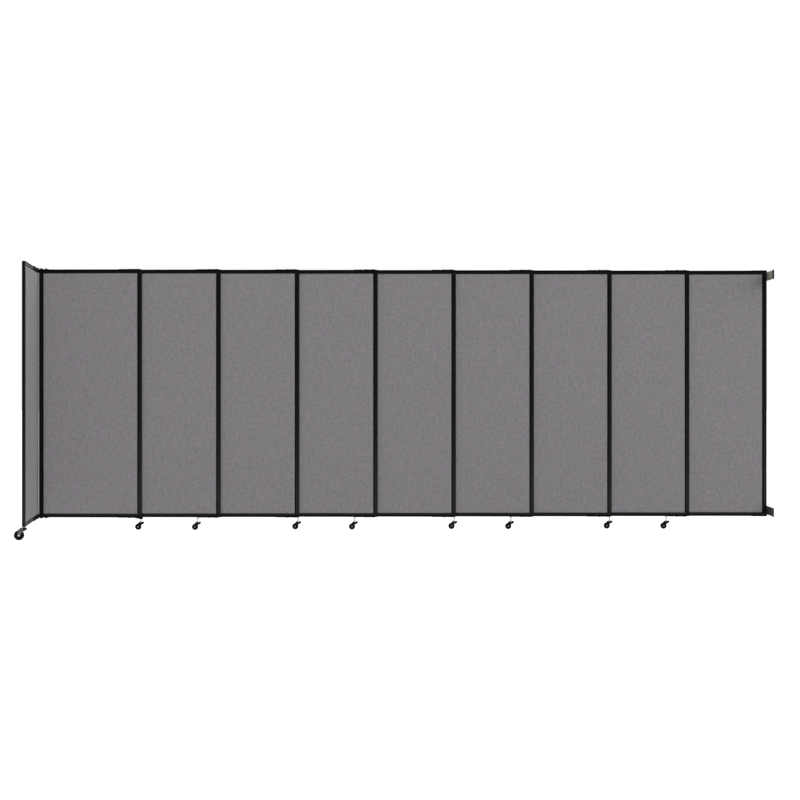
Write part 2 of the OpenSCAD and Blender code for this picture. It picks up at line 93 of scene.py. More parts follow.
# Casters: wheel, trail, fork and head
SMALL = {"wheel": 50, "tread": 17, "trail": 22, "half": 11.8, "cheek": 2.5, "axle": 6, "cap": 11,
         "boss": 8, "well": 27, "crown": [(9, 47), (12, 53), (8, 57), (-12, 60), (-19.5, 58), (-26, 50)],
         "tyre": 8}
END = {"wheel": 75, "tread": 26, "trail": 38, "half": 17.6, "cheek": 3, "axle": 8, "cap": 17,
       "boss": 10, "well": 39.5, "crown": [(-13, 67), (-7, 80), (-8, 93), (-27, 93), (-45, 76)], "tyre": 11}


# Colours and nodes

def linear(colour):
    """An sRGB hex colour as linear red, green, blue and alpha."""
    parts = [int(colour[i:i + 2], 16) / 255 for i in (1, 3, 5)]
    return [c / 12.92 if c <= 0.04045 else ((c + 0.055) / 1.055) ** 2.4 for c in parts] + [1.0]


def per_mm(*sizes):
    """The scale at which one unit of a pattern is each of these sizes in millimetres."""
    return [1 / (size * SCALE) for size in sizes]


def add(tree, kind, inputs=None, **settings):
    """Adds one node with its settings and links. An input is a plain value, or another node, whose
    first output in use is taken, or one of a node's outputs. A name means the first input of that
    name that is in use."""
    node = tree.nodes.new(kind)
    for name, value in settings.items():
        setattr(node, name, value)
    for key, value in (inputs or {}).items():
        named = [socket for socket in node.inputs if socket.enabled and socket.name == key]
        socket = named[0] if named else node.inputs[key]
        if isinstance(value, bpy.types.Node):
            value = [output for output in value.outputs if output.enabled][0]
        if isinstance(value, bpy.types.NodeSocket):
            tree.links.new(value, socket)
        else:
            socket.default_value = value
    return node


def lumps(tree, vector, sizes, detail=2.0, roughness=0.5, start=(0, 0, 0)):
    """A cloudy pattern whose lumps have these sizes in millimetres."""
    spot = add(tree, "ShaderNodeMapping", {"Vector": vector, "Location": start, "Scale": per_mm(*sizes)})
    return add(tree, "ShaderNodeTexNoise", {"Vector": spot, "Scale": 1.0, "Detail": detail,
                                            "Roughness": roughness})


def finish_start(name):
    """An empty material and its tree."""
    material = bpy.data.materials.new(name)
    material.use_nodes = True
    material.node_tree.nodes.clear()
    return material, material.node_tree


def finish_end(tree, height, depth, strength, inputs):
    """Ends a material's tree with its relief, which is depth millimetres deep, and its shader."""
    relief = add(tree, "ShaderNodeBump", {"Height": height, "Distance": depth * SCALE, "Strength": strength})
    shader = add(tree, "ShaderNodeBsdfPrincipled", {**inputs, "Normal": relief})
    add(tree, "ShaderNodeOutputMaterial", {"Surface": shader})


# Finishes

def anodised(name, colour, light, worn, rough, level):
    """Black anodised aluminium extrusion, etched satin before dyeing: a dark, dry film with faint
    drawing lines along its length, and edges a shade lighter where hands and neighbours rub."""
    material, tree = finish_start(name)
    grain = add(tree, "ShaderNodeAttribute", attribute_name="grain").outputs["Vector"]
    edge = add(tree, "ShaderNodeAttribute", attribute_name="edge").outputs["Fac"]
    # Real drawing lines are 0.1 mm apart; they are drawn 3 mm wide so that they show
    lines = lumps(tree, grain, (700, 3, 3), 3.0)
    cloud = lumps(tree, grain, (260, 90, 90))
    lined = add(tree, "ShaderNodeMapRange", {"Value": lines, "From Min": 0.3, "From Max": 0.7,
                                             "To Max": 0.4})
    clouded = add(tree, "ShaderNodeMapRange", {"Value": cloud, "From Min": 0.35, "From Max": 0.65,
                                               "To Max": 0.35})
    rubbed = add(tree, "ShaderNodeMapRange", {"Value": edge, "From Min": 0.2, "From Max": 1.0,
                                              "To Max": 0.6})
    base = add(tree, "ShaderNodeMix", {"Factor": lined, "A": linear(colour), "B": linear(light)},
               data_type="RGBA")
    base = add(tree, "ShaderNodeMix", {"Factor": clouded, "A": base, "B": linear(light)}, data_type="RGBA")
    base = add(tree, "ShaderNodeMix", {"Factor": rubbed, "A": base, "B": linear(worn)}, data_type="RGBA")
    dull = add(tree, "ShaderNodeMapRange", {"Value": lines, "From Min": 0.3, "From Max": 0.7,
                                            "To Min": rough - 0.04, "To Max": rough + 0.06})
    finish_end(tree, lines, 0.05, 0.4, {"Base Color": base, "Roughness": dull,
                                        "Specular IOR Level": level})
    return material


def cloth():
    """Plain-woven polyester upholstery in heathered mid grey: matt, with soft upright slubs where
    the spun yarn thickens, and a trace of rose and green in the mixed fibres."""
    material, tree = finish_start("woven_polyester_grey")
    weave = add(tree, "ShaderNodeAttribute", attribute_name="weave").outputs["Vector"]
    base = linear("#7D797D")
    # Yarns are about 1 mm apart; slubs and knots are drawn 5 to 24 mm wide so that they show. Each
    # row is the pattern's size, its start, the colour it brings and how much of it
    for sizes, start, colour, share in (((95, 120, 60), (11.3, 0, 0), "#7C7C7D", 1.0),
                                        ((5, 110, 5), (0, 0, 0), "#9A969B", 0.58),
                                        ((24, 30, 20), (0, 7.7, 0), "#5C595E", 0.4),
                                        ((60, 8, 5), (3.1, 0, 0), "#626064", 0.3),
                                        ((9, 12, 9), (0, 0, 5.2), "#A39FA3", 0.34)):
        tuft = lumps(tree, weave, sizes, 3.0, 0.6, start)
        amount = add(tree, "ShaderNodeMapRange", {"Value": tuft, "From Min": 0.32, "From Max": 0.68,
                                                  "To Max": share})
        base = add(tree, "ShaderNodeMix", {"Factor": amount, "A": base, "B": linear(colour)},
                   data_type="RGBA")
    # The weave itself: warp over weft, 1.4 mm a thread
    threads = add(tree, "ShaderNodeMapping", {"Vector": weave, "Scale": per_mm(1.4, 1.4, 1.4)})
    phase = add(tree, "ShaderNodeVectorMath", {0: threads, 1: (math.pi, math.pi, 0)}, operation="MULTIPLY")
    wave = add(tree, "ShaderNodeVectorMath", {0: phase}, operation="SINE")
    split = add(tree, "ShaderNodeSeparateXYZ", {"Vector": wave})
    cross = add(tree, "ShaderNodeMath", {0: split.outputs[0], 1: split.outputs[1]}, operation="MULTIPLY")
    over = add(tree, "ShaderNodeMapRange", {"Value": cross, "From Min": -1.0, "From Max": 1.0})
    shade = add(tree, "ShaderNodeMath", {0: over, 1: 0.12}, operation="MULTIPLY")
    base = add(tree, "ShaderNodeMix", {"Factor": shade, "A": base, "B": linear("#5E5C60")}, data_type="RGBA")
    height = add(tree, "ShaderNodeMath", {0: over, 1: tuft}, operation="ADD")
    finish_end(tree, height, 0.35, 0.4, {"Base Color": base, "Roughness": 0.92,
                                         "Specular IOR Level": 0.12, "Sheen Weight": 0.05,
                                         "Sheen Roughness": 0.6})
    return material


def coated(name, colour, dust, rough, level, peel):
    """Powder-coated or moulded surface: an even colour over a fine pebbled skin, a little paler
    where dust and handling have dulled it."""
    material, tree = finish_start(name)
    place = add(tree, "ShaderNodeTexCoord").outputs["Object"]
    skin = lumps(tree, place, (peel, peel, peel))
    worn = lumps(tree, place, (45, 45, 45), 4.0, 0.6)
    dusty = add(tree, "ShaderNodeMapRange", {"Value": worn, "From Min": 0.45, "From Max": 0.75,
                                             "To Max": 0.5})
    base = add(tree, "ShaderNodeMix", {"Factor": dusty, "A": linear(colour), "B": linear(dust)},
               data_type="RGBA")
    dull = add(tree, "ShaderNodeMapRange", {"Value": worn, "From Min": 0.3, "From Max": 0.7,
                                            "To Min": rough - 0.06, "To Max": rough + 0.08})
    finish_end(tree, skin, 0.12, 0.5, {"Base Color": base, "Roughness": dull,
                                       "Specular IOR Level": level})
    return material


def plated(name, colour, tint, rough, streak, metal=1.0):
    """Plated or blackened steel: bright metal under a thin passivated skin, with faint streaks and
    a slow shift of tint from the bath. The skin is milky where metal is below 1."""
    material, tree = finish_start(name)
    place = add(tree, "ShaderNodeTexCoord").outputs["Object"]
    bath = lumps(tree, place, (16, 16, 28))
    fine = lumps(tree, place, (streak, streak, streak / 4), 3.0)
    tinted = add(tree, "ShaderNodeMapRange", {"Value": bath, "From Min": 0.3, "From Max": 0.7})
    base = add(tree, "ShaderNodeMix", {"Factor": tinted, "A": linear(colour), "B": linear(tint)},
               data_type="RGBA")
    dull = add(tree, "ShaderNodeMapRange", {"Value": fine, "From Min": 0.3, "From Max": 0.7,
                                            "To Min": rough - 0.06, "To Max": rough + 0.1})
    finish_end(tree, fine, 0.05, 0.3, {"Base Color": base, "Metallic": metal, "Roughness": dull})
    return material


def nylon():
    """Natural cast nylon, milled to a strip: waxy off-white, a little light passes its edges."""
    material, tree = finish_start("natural_nylon")
    place = add(tree, "ShaderNodeTexCoord").outputs["Object"]
    rub = lumps(tree, place, (30, 3, 3), 3.0)
    tinted = add(tree, "ShaderNodeMapRange", {"Value": rub, "From Min": 0.3, "From Max": 0.7})
    base = add(tree, "ShaderNodeMix", {"Factor": tinted, "A": linear("#D9D4C6"), "B": linear("#B9B4A8")},
               data_type="RGBA")
    dull = add(tree, "ShaderNodeMapRange", {"Value": rub, "From Min": 0.3, "From Max": 0.7,
                                            "To Min": 0.36, "To Max": 0.5})
    finish_end(tree, rub, 0.1, 0.3, {"Base Color": base, "Roughness": dull, "Specular IOR Level": 0.4,
                                     "Subsurface Weight": 0.15, "Subsurface Scale": 4 * SCALE})
    return material


SATIN_BLACK = anodised("anodised_aluminium_black", "#080808", "#101012", "#2A292A", 0.27, 0.36)
TRACK_BLACK = anodised("anodised_aluminium_track", "#030303", "#060607", "#0E0E0E", 0.5, 0.15)
CLOTH = cloth()
POWDER_BLACK = coated("powder_coated_steel_black", "#050505", "#0E0E0E", 0.6, 0.1, 1.2)
PLASTIC_BLACK = coated("moulded_nylon_black", "#0B0B0B", "#1C1C1C", 0.52, 0.22, 0.8)
RUBBER_BLACK = coated("moulded_rubber_black", "#0C0C0C", "#232221", 0.75, 0.15, 0.6)
# A near-black matt finish for the stiles' inner strip: painted shade where the stile meets the board
STILE_STRIP_PAINTED_SHADE = coated("extruded_rubber_bead_black", "#030303", "#080808", 0.7, 0.1, 1.6)
WALL_GREY = coated("painted_steel_grey", "#A9AC9F", "#B7B9AE", 0.5, 0.3, 1.2)
# The same grey paint made darker for the lower wall plate: painted shade
WALL_GREY_PAINTED_SHADE = coated("painted_steel_slate", "#4C4D54", "#5A5B60", 0.5, 0.3, 1.2)
ZINC = plated("zinc_plated_steel", "#E6E6E2", "#D2D3D2", 0.42, 1.5, 0.6)
DULL_ZINC = plated("dull_zinc_plated_steel", "#B4B5B4", "#9C9D9E", 0.45, 1.5, 0.6)
DARK_ZINC = plated("dark_passivated_zinc", "#7E7F80", "#5A5C5E", 0.4, 1.5, 0.7)
BLACK_OXIDE = plated("black_oxide_steel", "#131314", "#1D1D1E", 0.4, 1.2)
NYLON = nylon()


# Outlines and meshes

def circle(radius, count, x=0, y=0):
    """Points round a circle."""
    return [(x + radius * math.cos(2 * math.pi * k / count), y + radius * math.sin(2 * math.pi * k / count))
            for k in range(count)]


def rounded(corners, radius, steps=3):
    """An outline with its corners turned to arcs: one radius, or one for each corner. Each point
    comes with its bend: how far it is round its corner, 0 at the flats and 1 in the arc's middle."""
    count = len(corners)
    radii = [radius] * count if isinstance(radius, (int, float)) else radius
    most, least = 0.48, 0.02
    points = []
    for i, here in enumerate(corners):
        before, after = Vector(corners[i - 1]), Vector(corners[(i + 1) % count])
        here = Vector(here)
        a, b = (before - here), (after - here)
        room = most * min(a.length, b.length)
        if min(radii[i], room) < least:
            points.append((here.x, here.y, 0.0))
            continue
        a, b = a.normalized(), b.normalized()
        half = math.acos(max(-1, min(1, a.dot(b)))) / 2
        cut = min(min(radii[i], room) / math.tan(half), room)
        real = cut * math.tan(half)
        centre = here + (a + b).normalized() * (real / math.sin(half))
        start, end = here + a * cut - centre, here + b * cut - centre
        turn = math.atan2(start.x * end.y - start.y * end.x, start.dot(end))
        for k in range(steps + 1):
            share = k / steps
            angle = turn * share
            x = start.x * math.cos(angle) - start.y * math.sin(angle)
            y = start.x * math.sin(angle) + start.y * math.cos(angle)
            points.append((centre.x + x, centre.y + y, 1 - abs(2 * share - 1)))
    return points


def prism(bm, outline, start, end, into, slot=0, bevel=0.0):
    """Adds a solid of one outline: its plane is (a, b), it runs along t from start to end, and
    into is the matrix from (a, b, t) to the piece."""
    part = bmesh.new()
    rings = [[part.verts.new((p[0], p[1], t)) for p in outline] for t in (start, end)]
    count = len(outline)
    for k in range(count):
        part.faces.new((rings[0][k], rings[0][(k + 1) % count], rings[1][(k + 1) % count], rings[1][k]))
    part.faces.new(list(reversed(rings[0])))
    part.faces.new(rings[1])
    bmesh.ops.recalc_face_normals(part, faces=part.faces)
    if bevel:
        sharp = [e for e in part.edges if e.calc_face_angle(0) > math.radians(40)]
        bmesh.ops.bevel(part, geom=sharp, offset=bevel, segments=2, profile=0.5, affect="EDGES",
                        clamp_overlap=True)
    poured(bm, part, into, slot)


def poured(bm, part, into, slot=0):
    """Moves a part's mesh into the piece's mesh."""
    part.transform(into)
    if into.determinant() < 0:
        bmesh.ops.reverse_faces(part, faces=part.faces)
    for face in part.faces:
        face.material_index = slot
        face.smooth = True
    mesh = bpy.data.meshes.new("part")
    part.to_mesh(mesh)
    part.free()
    bm.from_mesh(mesh)
    bpy.data.meshes.remove(mesh)


def turned(bm, profile, into, segments=32):
    """Adds a turned solid: profile is (radius, height) from the bottom centre to the top centre,
    or a closed ring when it doesn't touch the axis."""
    part = bmesh.new()
    rings = [[part.verts.new((x, y, height)) for x, y in circle(radius, segments if radius else 1)]
             for radius, height in profile]
    closed = len(rings[0]) > 1
    pairs = list(zip(rings, rings[1:])) + ([(rings[-1], rings[0])] if closed else [])
    for low, high in pairs:
        for k in range(segments):
            n = (k + 1) % segments
            corners = [low[0], low[0]] if len(low) == 1 else [low[k], low[n]]
            corners += [high[0], high[0]] if len(high) == 1 else [high[n], high[k]]
            unique = list(dict.fromkeys(corners))
            if len(unique) > 2:
                part.faces.new(unique)
    bmesh.ops.recalc_face_normals(part, faces=part.faces)
    poured(bm, part, into)


def block(bm, low, high, into, upright=0.0, bevel=0.4):
    """Adds a block with rounded upright corners and softened edges."""
    corners = [(low[0], low[1]), (high[0], low[1]), (high[0], high[1]), (low[0], high[1])]
    prism(bm, rounded(corners, upright) if upright else corners, low[2], high[2], into, bevel=bevel)


# From an outline's plane and run to a panel's own axes
ALONG = Matrix(((0, 0, 1, 0), (1, 0, 0, 0), (0, 1, 0, 0), (0, 0, 0, 1)))
UPRIGHT = Matrix.Identity(4)
ACROSS = Matrix(((1, 0, 0, 0), (0, 0, -1, 0), (0, 1, 0, 0), (0, 0, 0, 1)))


def shifted(x=0, y=0, z=0):
    return Matrix.Translation((x, y, z))


# The two matrices that set a piece, drawn on a panel's top edge, at its top and its bottom
EDGES = [shifted(z=TOP), shifted(z=BOTTOM) @ Matrix.Diagonal((1, 1, -1, 1))]


def panel_place(i):
    low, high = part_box(f"panel_{i}_frame")
    return Matrix.Translation((low.x, (low.y + high.y) / 2, 0)) @ Matrix.Scale(SCALE, 4)


joints = {j["name"]: j for j in frame["joints"]}
pin = joints["end_panel_hinge"]["pos_m"]
end_turn = math.radians(-joints["end_panel_hinge"]["range_deg"][1])
END_HINGE = (Matrix.Translation((pin[0], pin[1], 0)) @ Matrix.Rotation(end_turn, 4, "Z")
             @ Matrix.Scale(SCALE, 4))
END_PLACE = END_HINGE @ shifted(END_SETBACK, -END_OFFSET - THICK / 2)
PLACES = {i: panel_place(i) for i in PANELS}


def caster_place(joint, turn=0.0):
    x, y, _ = joints[joint]["pos_m"]
    return Matrix.Translation((x, y, 0)) @ Matrix.Rotation(turn, 4, "Z") @ Matrix.Scale(SCALE, 4)


def body_of_panel(i):
    return "wall_panel" if i == LAST else f"panel_{i}"


def linked(name, bm):
    """An object of the scene from the mesh that was built for it."""
    mesh = bpy.data.meshes.new(name)
    bm.to_mesh(mesh)
    bm.free()
    thing = bpy.data.objects.new(name, mesh)
    bpy.context.scene.collection.objects.link(thing)
    return thing


def piece(name, bm, finishes, body, replaces=(), place=Matrix.Identity(4), sharp=32):
    """Turns a mesh drawn in millimetres into a finished piece of the object."""
    bm.transform(place)
    thing = linked(name, bm)
    for finish in finishes:
        thing.data.materials.append(finish)
    thing.data.set_sharp_from_angle(angle=math.radians(sharp))
    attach(thing, body)
    if replaces:
        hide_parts(*replaces)


def settled(thing):
    """What an object's modifiers make of it, as a plain mesh."""
    bpy.context.view_layer.update()
    shown = thing.evaluated_get(bpy.context.evaluated_depsgraph_get())
    return bpy.data.meshes.new_from_object(shown)


def cut_out(outer, inner, bevel):
    """One solid less another, with its sharp edges softened."""
    whole, hollow = linked("whole", outer), linked("hollow", inner)
    cut = whole.modifiers.new("cut", "BOOLEAN")
    cut.operation, cut.object, cut.solver = "DIFFERENCE", hollow, "EXACT"
    soft = whole.modifiers.new("soft", "BEVEL")
    soft.width, soft.segments, soft.limit_method, soft.angle_limit = bevel, 2, "ANGLE", math.radians(40)
    result = settled(whole)
    bpy.data.objects.remove(whole)
    bpy.data.objects.remove(hollow)
    return result


# Geometry trees

def tree_start(name, sizes):
    """A geometry tree with named inputs; returns it with the outputs of its input node by name."""
    tree = bpy.data.node_groups.new(name, "GeometryNodeTree")
    tree.interface.new_socket("Geometry", in_out="INPUT", socket_type="NodeSocketGeometry")
    for label, kind in sizes.items():
        tree.interface.new_socket(label, in_out="INPUT", socket_type=kind)
    tree.interface.new_socket("Geometry", in_out="OUTPUT", socket_type="NodeSocketGeometry")
    return tree, add(tree, "NodeGroupInput").outputs


def tree_end(tree, geometry, material):
    """Every tree ends in real geometry with its finish."""
    real = add(tree, "GeometryNodeRealizeInstances", {"Geometry": geometry})
    painted = add(tree, "GeometryNodeSetMaterial", {"Geometry": real, "Material": material})
    add(tree, "NodeGroupOutput", {0: painted})


def at_points(tree, points, instance, seed):
    """Sets an instance at each point, its own up along the point's axis, turned by a fixed chance."""
    axis = add(tree, "GeometryNodeInputNamedAttribute", {"Name": "axis"}, data_type="FLOAT_VECTOR")
    lined = add(tree, "FunctionNodeAlignRotationToVector", {"Vector": axis}, axis="Z")
    chance = add(tree, "FunctionNodeRandomValue", {"Max": 2 * math.pi, "Seed": seed}, data_type="FLOAT")
    spin = add(tree, "FunctionNodeAxisAngleToRotation", {"Axis": (0, 0, 1), "Angle": chance})
    turned_by = add(tree, "FunctionNodeRotateRotation", {"Rotation": lined, "Rotate By": spin},
                    rotation_space="LOCAL")
    return add(tree, "GeometryNodeInstanceOnPoints", {"Points": points, "Instance": instance,
                                                      "Rotation": turned_by})


def screw_tree(material):
    """Pan-head screws with a cross recess, one on each point."""
    tree, given = tree_start("pan_head_screws", {"Head Width": "NodeSocketFloat",
                                                 "Head Height": "NodeSocketFloat"})
    width, height = given["Head Width"], given["Head Height"]
    ball = add(tree, "GeometryNodeMeshUVSphere", {"Segments": 20, "Rings": 12, "Radius": 1.0})
    split = add(tree, "ShaderNodeSeparateXYZ", {0: add(tree, "GeometryNodeInputPosition")})
    half = add(tree, "ShaderNodeMath", {0: width, 1: 0.5}, operation="MULTIPLY")
    upper = add(tree, "ShaderNodeMath", {0: split.outputs[2], 1: 0.0}, operation="MAXIMUM")
    domed = add(tree, "ShaderNodeMath", {0: upper, 1: 0.6}, operation="POWER")
    shape = add(tree, "ShaderNodeCombineXYZ", {
        0: add(tree, "ShaderNodeMath", {0: split.outputs[0], 1: half}, operation="MULTIPLY"),
        1: add(tree, "ShaderNodeMath", {0: split.outputs[1], 1: half}, operation="MULTIPLY"),
        2: add(tree, "ShaderNodeMath", {0: domed, 1: height}, operation="MULTIPLY")})
    head = add(tree, "GeometryNodeSetPosition", {"Geometry": ball, "Position": shape})
    bored = add(tree, "GeometryNodeMeshBoolean", {0: head}, operation="DIFFERENCE")
    long_arm = add(tree, "ShaderNodeMath", {0: width, 1: 0.52}, operation="MULTIPLY")
    short_arm = add(tree, "ShaderNodeMath", {0: width, 1: 0.13}, operation="MULTIPLY")
    top = add(tree, "ShaderNodeMath", {0: height, 1: 0.95}, operation="MULTIPLY")
    lift = add(tree, "ShaderNodeCombineXYZ", {2: top})
    for along, across in ((long_arm, short_arm), (short_arm, long_arm)):
        size = add(tree, "ShaderNodeCombineXYZ", {0: along, 1: across, 2: height})
        cutter = add(tree, "GeometryNodeMeshCube", {"Size": size})
        cut = add(tree, "GeometryNodeTransform", {"Geometry": cutter, "Translation": lift})
        tree.links.new(cut.outputs[0], bored.inputs[1])
    tree_end(tree, at_points(tree, given["Geometry"], bored, 7), material)
    return tree


def nut_tree(material):
    """Hexagon nuts and bolt heads with turned chamfers, one on each point."""
    tree, given = tree_start("hexagon_nuts", {"Across Corners": "NodeSocketFloat",
                                              "Height": "NodeSocketFloat"})
    half = add(tree, "ShaderNodeMath", {0: given["Across Corners"], 1: 0.5}, operation="MULTIPLY")
    middle = add(tree, "ShaderNodeMath", {0: given["Height"], 1: 0.5}, operation="MULTIPLY")
    wide = add(tree, "ShaderNodeMath", {0: half, 1: 1.01}, operation="MULTIPLY")
    tall = add(tree, "ShaderNodeMath", {0: given["Height"], 1: 0.95}, operation="MULTIPLY")
    six = add(tree, "GeometryNodeMeshCylinder", {"Vertices": 6, "Radius": half, "Depth": given["Height"]})
    lift = add(tree, "ShaderNodeCombineXYZ", {2: middle})
    body = add(tree, "GeometryNodeTransform", {"Geometry": six, "Translation": lift})
    ball = add(tree, "GeometryNodeMeshUVSphere", {"Segments": 36, "Rings": 24, "Radius": 1.0})
    flat = add(tree, "ShaderNodeCombineXYZ", {0: wide, 1: wide, 2: tall})
    dome = add(tree, "GeometryNodeTransform", {"Geometry": ball, "Translation": lift, "Scale": flat})
    both = add(tree, "GeometryNodeMeshBoolean", operation="INTERSECT")
    for part in (body, dome):
        tree.links.new(part.outputs[0], both.inputs[1])
    tree_end(tree, at_points(tree, given["Geometry"], both, 3), material)
    return tree


def thread_tree(material):
    """Screw threads: a ridge wound round the stem above each point."""
    tree, given = tree_start("stem_threads", {"Diameter": "NodeSocketFloat", "Pitch": "NodeSocketFloat",
                                              "Length": "NodeSocketFloat", "Ridge": "NodeSocketFloat"})
    radius = add(tree, "ShaderNodeMath", {0: given["Diameter"], 1: 0.5}, operation="MULTIPLY")
    turns = add(tree, "ShaderNodeMath", {0: given["Length"], 1: given["Pitch"]}, operation="DIVIDE")
    coil = add(tree, "GeometryNodeCurveSpiral", {"Resolution": 16, "Rotations": turns,
                                                 "Start Radius": radius, "End Radius": radius,
                                                 "Height": given["Length"]})
    ridge = add(tree, "GeometryNodeCurvePrimitiveCircle", {"Resolution": 4, "Radius": given["Ridge"]})
    wound = add(tree, "GeometryNodeCurveToMesh", {"Curve": coil, "Profile Curve": ridge, "Fill Caps": True})
    tree_end(tree, at_points(tree, given["Geometry"], wound, 5), material)
    return tree


def rib_tree(material):
    """Moulded ribs between a wheel's hub and its rim, round each point's axis."""
    tree, given = tree_start("hub_ribs", {"Count": "NodeSocketInt", "Inner Radius": "NodeSocketFloat",
                                          "Outer Radius": "NodeSocketFloat", "Thickness": "NodeSocketFloat",
                                          "Depth": "NodeSocketFloat"})
    inner, outer = given["Inner Radius"], given["Outer Radius"]
    both = add(tree, "ShaderNodeMath", {0: inner, 1: outer}, operation="ADD")
    middle = add(tree, "ShaderNodeMath", {0: both, 1: 0.5}, operation="MULTIPLY")
    reach = add(tree, "ShaderNodeMath", {0: outer, 1: inner}, operation="SUBTRACT")
    ring = add(tree, "GeometryNodeMeshCircle", {"Vertices": given["Count"], "Radius": middle})
    size = add(tree, "ShaderNodeCombineXYZ", {0: reach, 1: given["Thickness"], 2: given["Depth"]})
    rib = add(tree, "GeometryNodeMeshCube", {"Size": size})
    facing = add(tree, "FunctionNodeAlignRotationToVector",
                 {"Vector": add(tree, "GeometryNodeInputPosition")}, axis="X")
    ribs = add(tree, "GeometryNodeInstanceOnPoints", {"Points": ring, "Instance": rib, "Rotation": facing})
    tree_end(tree, at_points(tree, given["Geometry"], ribs, 11), material)
    return tree


def swept_tree(material):
    """An extrusion: the outline given as one face, run from Start to End."""
    tree, given = tree_start("swept_extrusion", {"Start": "NodeSocketFloat", "End": "NodeSocketFloat"})
    length = add(tree, "ShaderNodeMath", {0: given["End"], 1: given["Start"]}, operation="SUBTRACT")
    first = add(tree, "ShaderNodeCombineXYZ", {2: given["Start"]})
    run = add(tree, "ShaderNodeCombineXYZ", {2: length})
    base = add(tree, "GeometryNodeTransform", {"Geometry": given["Geometry"], "Translation": first})
    pulled = add(tree, "GeometryNodeExtrudeMesh", {"Mesh": base, "Offset": run, "Offset Scale": 1.0,
                                                   "Individual": False}, mode="FACES")
    under = add(tree, "GeometryNodeFlipFaces", {0: base})
    both = add(tree, "GeometryNodeJoinGeometry")
    for part in (pulled, under):
        tree.links.new(part.outputs[0], both.inputs[0])
    whole = add(tree, "GeometryNodeMergeByDistance", {"Geometry": both, "Distance": 0.001})
    tree_end(tree, whole, material)
    return tree


def grown(mesh, tree, **sizes):
    """Runs a geometry tree on a mesh and returns the result as a plain mesh."""
    seedling = bpy.data.objects.new("seedling", mesh)
    bpy.context.scene.collection.objects.link(seedling)
    modifier = seedling.modifiers.new("tree", "NODES")
    modifier.node_group = tree
    for item in tree.interface.items_tree:
        key = item.name.replace(" ", "_")
        if item.in_out == "INPUT" and key in sizes:
            modifier[item.identifier] = sizes[key]
    result = settled(seedling)
    seedling.modifiers.remove(modifier)
    bpy.data.objects.remove(seedling)
    return result


def fixings(spots, tree, **sizes):
    """Fasteners at points: spots is a list of (point, axis), in millimetres."""
    mesh = bpy.data.meshes.new("spots")
    mesh.from_pydata([tuple(p) for p, _ in spots], [], [])
    axis = mesh.attributes.new("axis", "FLOAT_VECTOR", "POINT")
    for k, (_, direction) in enumerate(spots):
        axis.data[k].vector = direction
    result = grown(mesh, tree, **sizes)
    left_over = result.attributes.get("axis")
    if left_over:
        result.attributes.remove(left_over)
    return result


def taken(bm, mesh, into=Matrix.Identity(4), slot=0):
    """Adds a finished mesh to the piece's mesh, and drops the loose one."""
    part = bmesh.new()
    part.from_mesh(mesh)
    bpy.data.meshes.remove(mesh)
    poured(bm, part, into, slot)


SCREWS = screw_tree(BLACK_OXIDE)
NUTS = nut_tree(ZINC)
THREADS = thread_tree(ZINC)
RIBS = rib_tree(PLASTIC_BLACK)
SWEPT = swept_tree(SATIN_BLACK)


# Panel frames

def rail_outline():
    """A rail's section: two slide grooves in its outer face at b = 0, the board's channel under it,
    and the outer half of each side set back a little as the slide track."""
    side, track, channel = THICK / 2, THICK / 2 - TRACK_SETBACK, CHANNEL_WIDTH / 2
    right = [(track, 0), (track, -TRACK_HEIGHT), (side, -TRACK_HEIGHT - TRACK_SETBACK), (side, -TOP_RAIL),
             (channel, -TOP_RAIL), (channel, -TOP_RAIL + CHANNEL_DEPTH)]
    left = [(-a, b) for a, b in reversed(right)]
    mouth = [(-GROOVE_TO, 0), (-GROOVE_TO, -GROOVE_DEPTH), (-GROOVE_FROM, -GROOVE_DEPTH), (-GROOVE_FROM, 0)]
    grooves = mouth + [(-a, b) for a, b in reversed(mouth)]
    radii = [0.6, 0.3, 0.3, 0.8, 0.4, 0.3] + [0.3, 0.4, 0.8, 0.3, 0.3, 0.6] + [0.4, 0.2, 0.2, 0.4] * 2
    return rounded(right + left + grooves, radii)


def stile_outline():
    """A left stile's section: softened corners outside, the board's channel on its inner side, and
    the strip beside the board, set back a little, which panel_frame paints near black as shade."""
    side, channel, setback = THICK / 2, CHANNEL_WIDTH / 2, 0.6
    floor, bead, low = STILE - CHANNEL_DEPTH, STILE - INNER_STRIP, side - setback
    corners = [(0, -side), (bead, -side), (bead + setback, -low), (STILE, -low), (STILE, -channel),
               (floor, -channel), (floor, channel), (STILE, channel), (STILE, low), (bead + setback, low),
               (bead, side), (0, side)]
    return rounded(corners, [2.6, 0.4, 0.3, 1.2, 0.4, 0.3, 0.3, 0.4, 1.2, 0.3, 0.4, 2.6])


def trimmed(outline, trim):
    """A rail's outline made lower by trim: all that lies under its track and grooves moves up."""
    split = -(TRACK_HEIGHT + TOP_RAIL - CHANNEL_DEPTH) / 2
    return [(a, b + trim if b < split else b, bend) for a, b, bend in outline]


def member(outline, start, end):
    """One length of extrusion. Its points carry where they lie along the grain and their bend."""
    mesh = bpy.data.meshes.new("section")
    points = [(a, b, 0) for a, b, _ in outline]
    mesh.from_pydata(points, [], [list(range(len(points)))])
    mesh.update()
    if mesh.polygons[0].normal.z < 0:
        mesh.flip_normals()
    result = grown(mesh, SWEPT, Start=float(start), End=float(end))
    flags = {(round(p[0], 2), round(p[1], 2)): outline[k][2] for k, p in enumerate(points)}
    spots = [tuple(vertex.co) for vertex in result.vertices]
    result.attributes.new("grain", "FLOAT_VECTOR", "POINT")
    result.attributes.new("edge", "FLOAT", "POINT")
    grain = [c * SCALE for a, b, t in spots for c in (t, a, b)]
    bends = [flags.get((round(a, 2), round(b, 2)), 0.0) for a, b, _ in spots]
    result.attributes["grain"].data.foreach_set("vector", grain)
    result.attributes["edge"].data.foreach_set("value", bends)
    return result


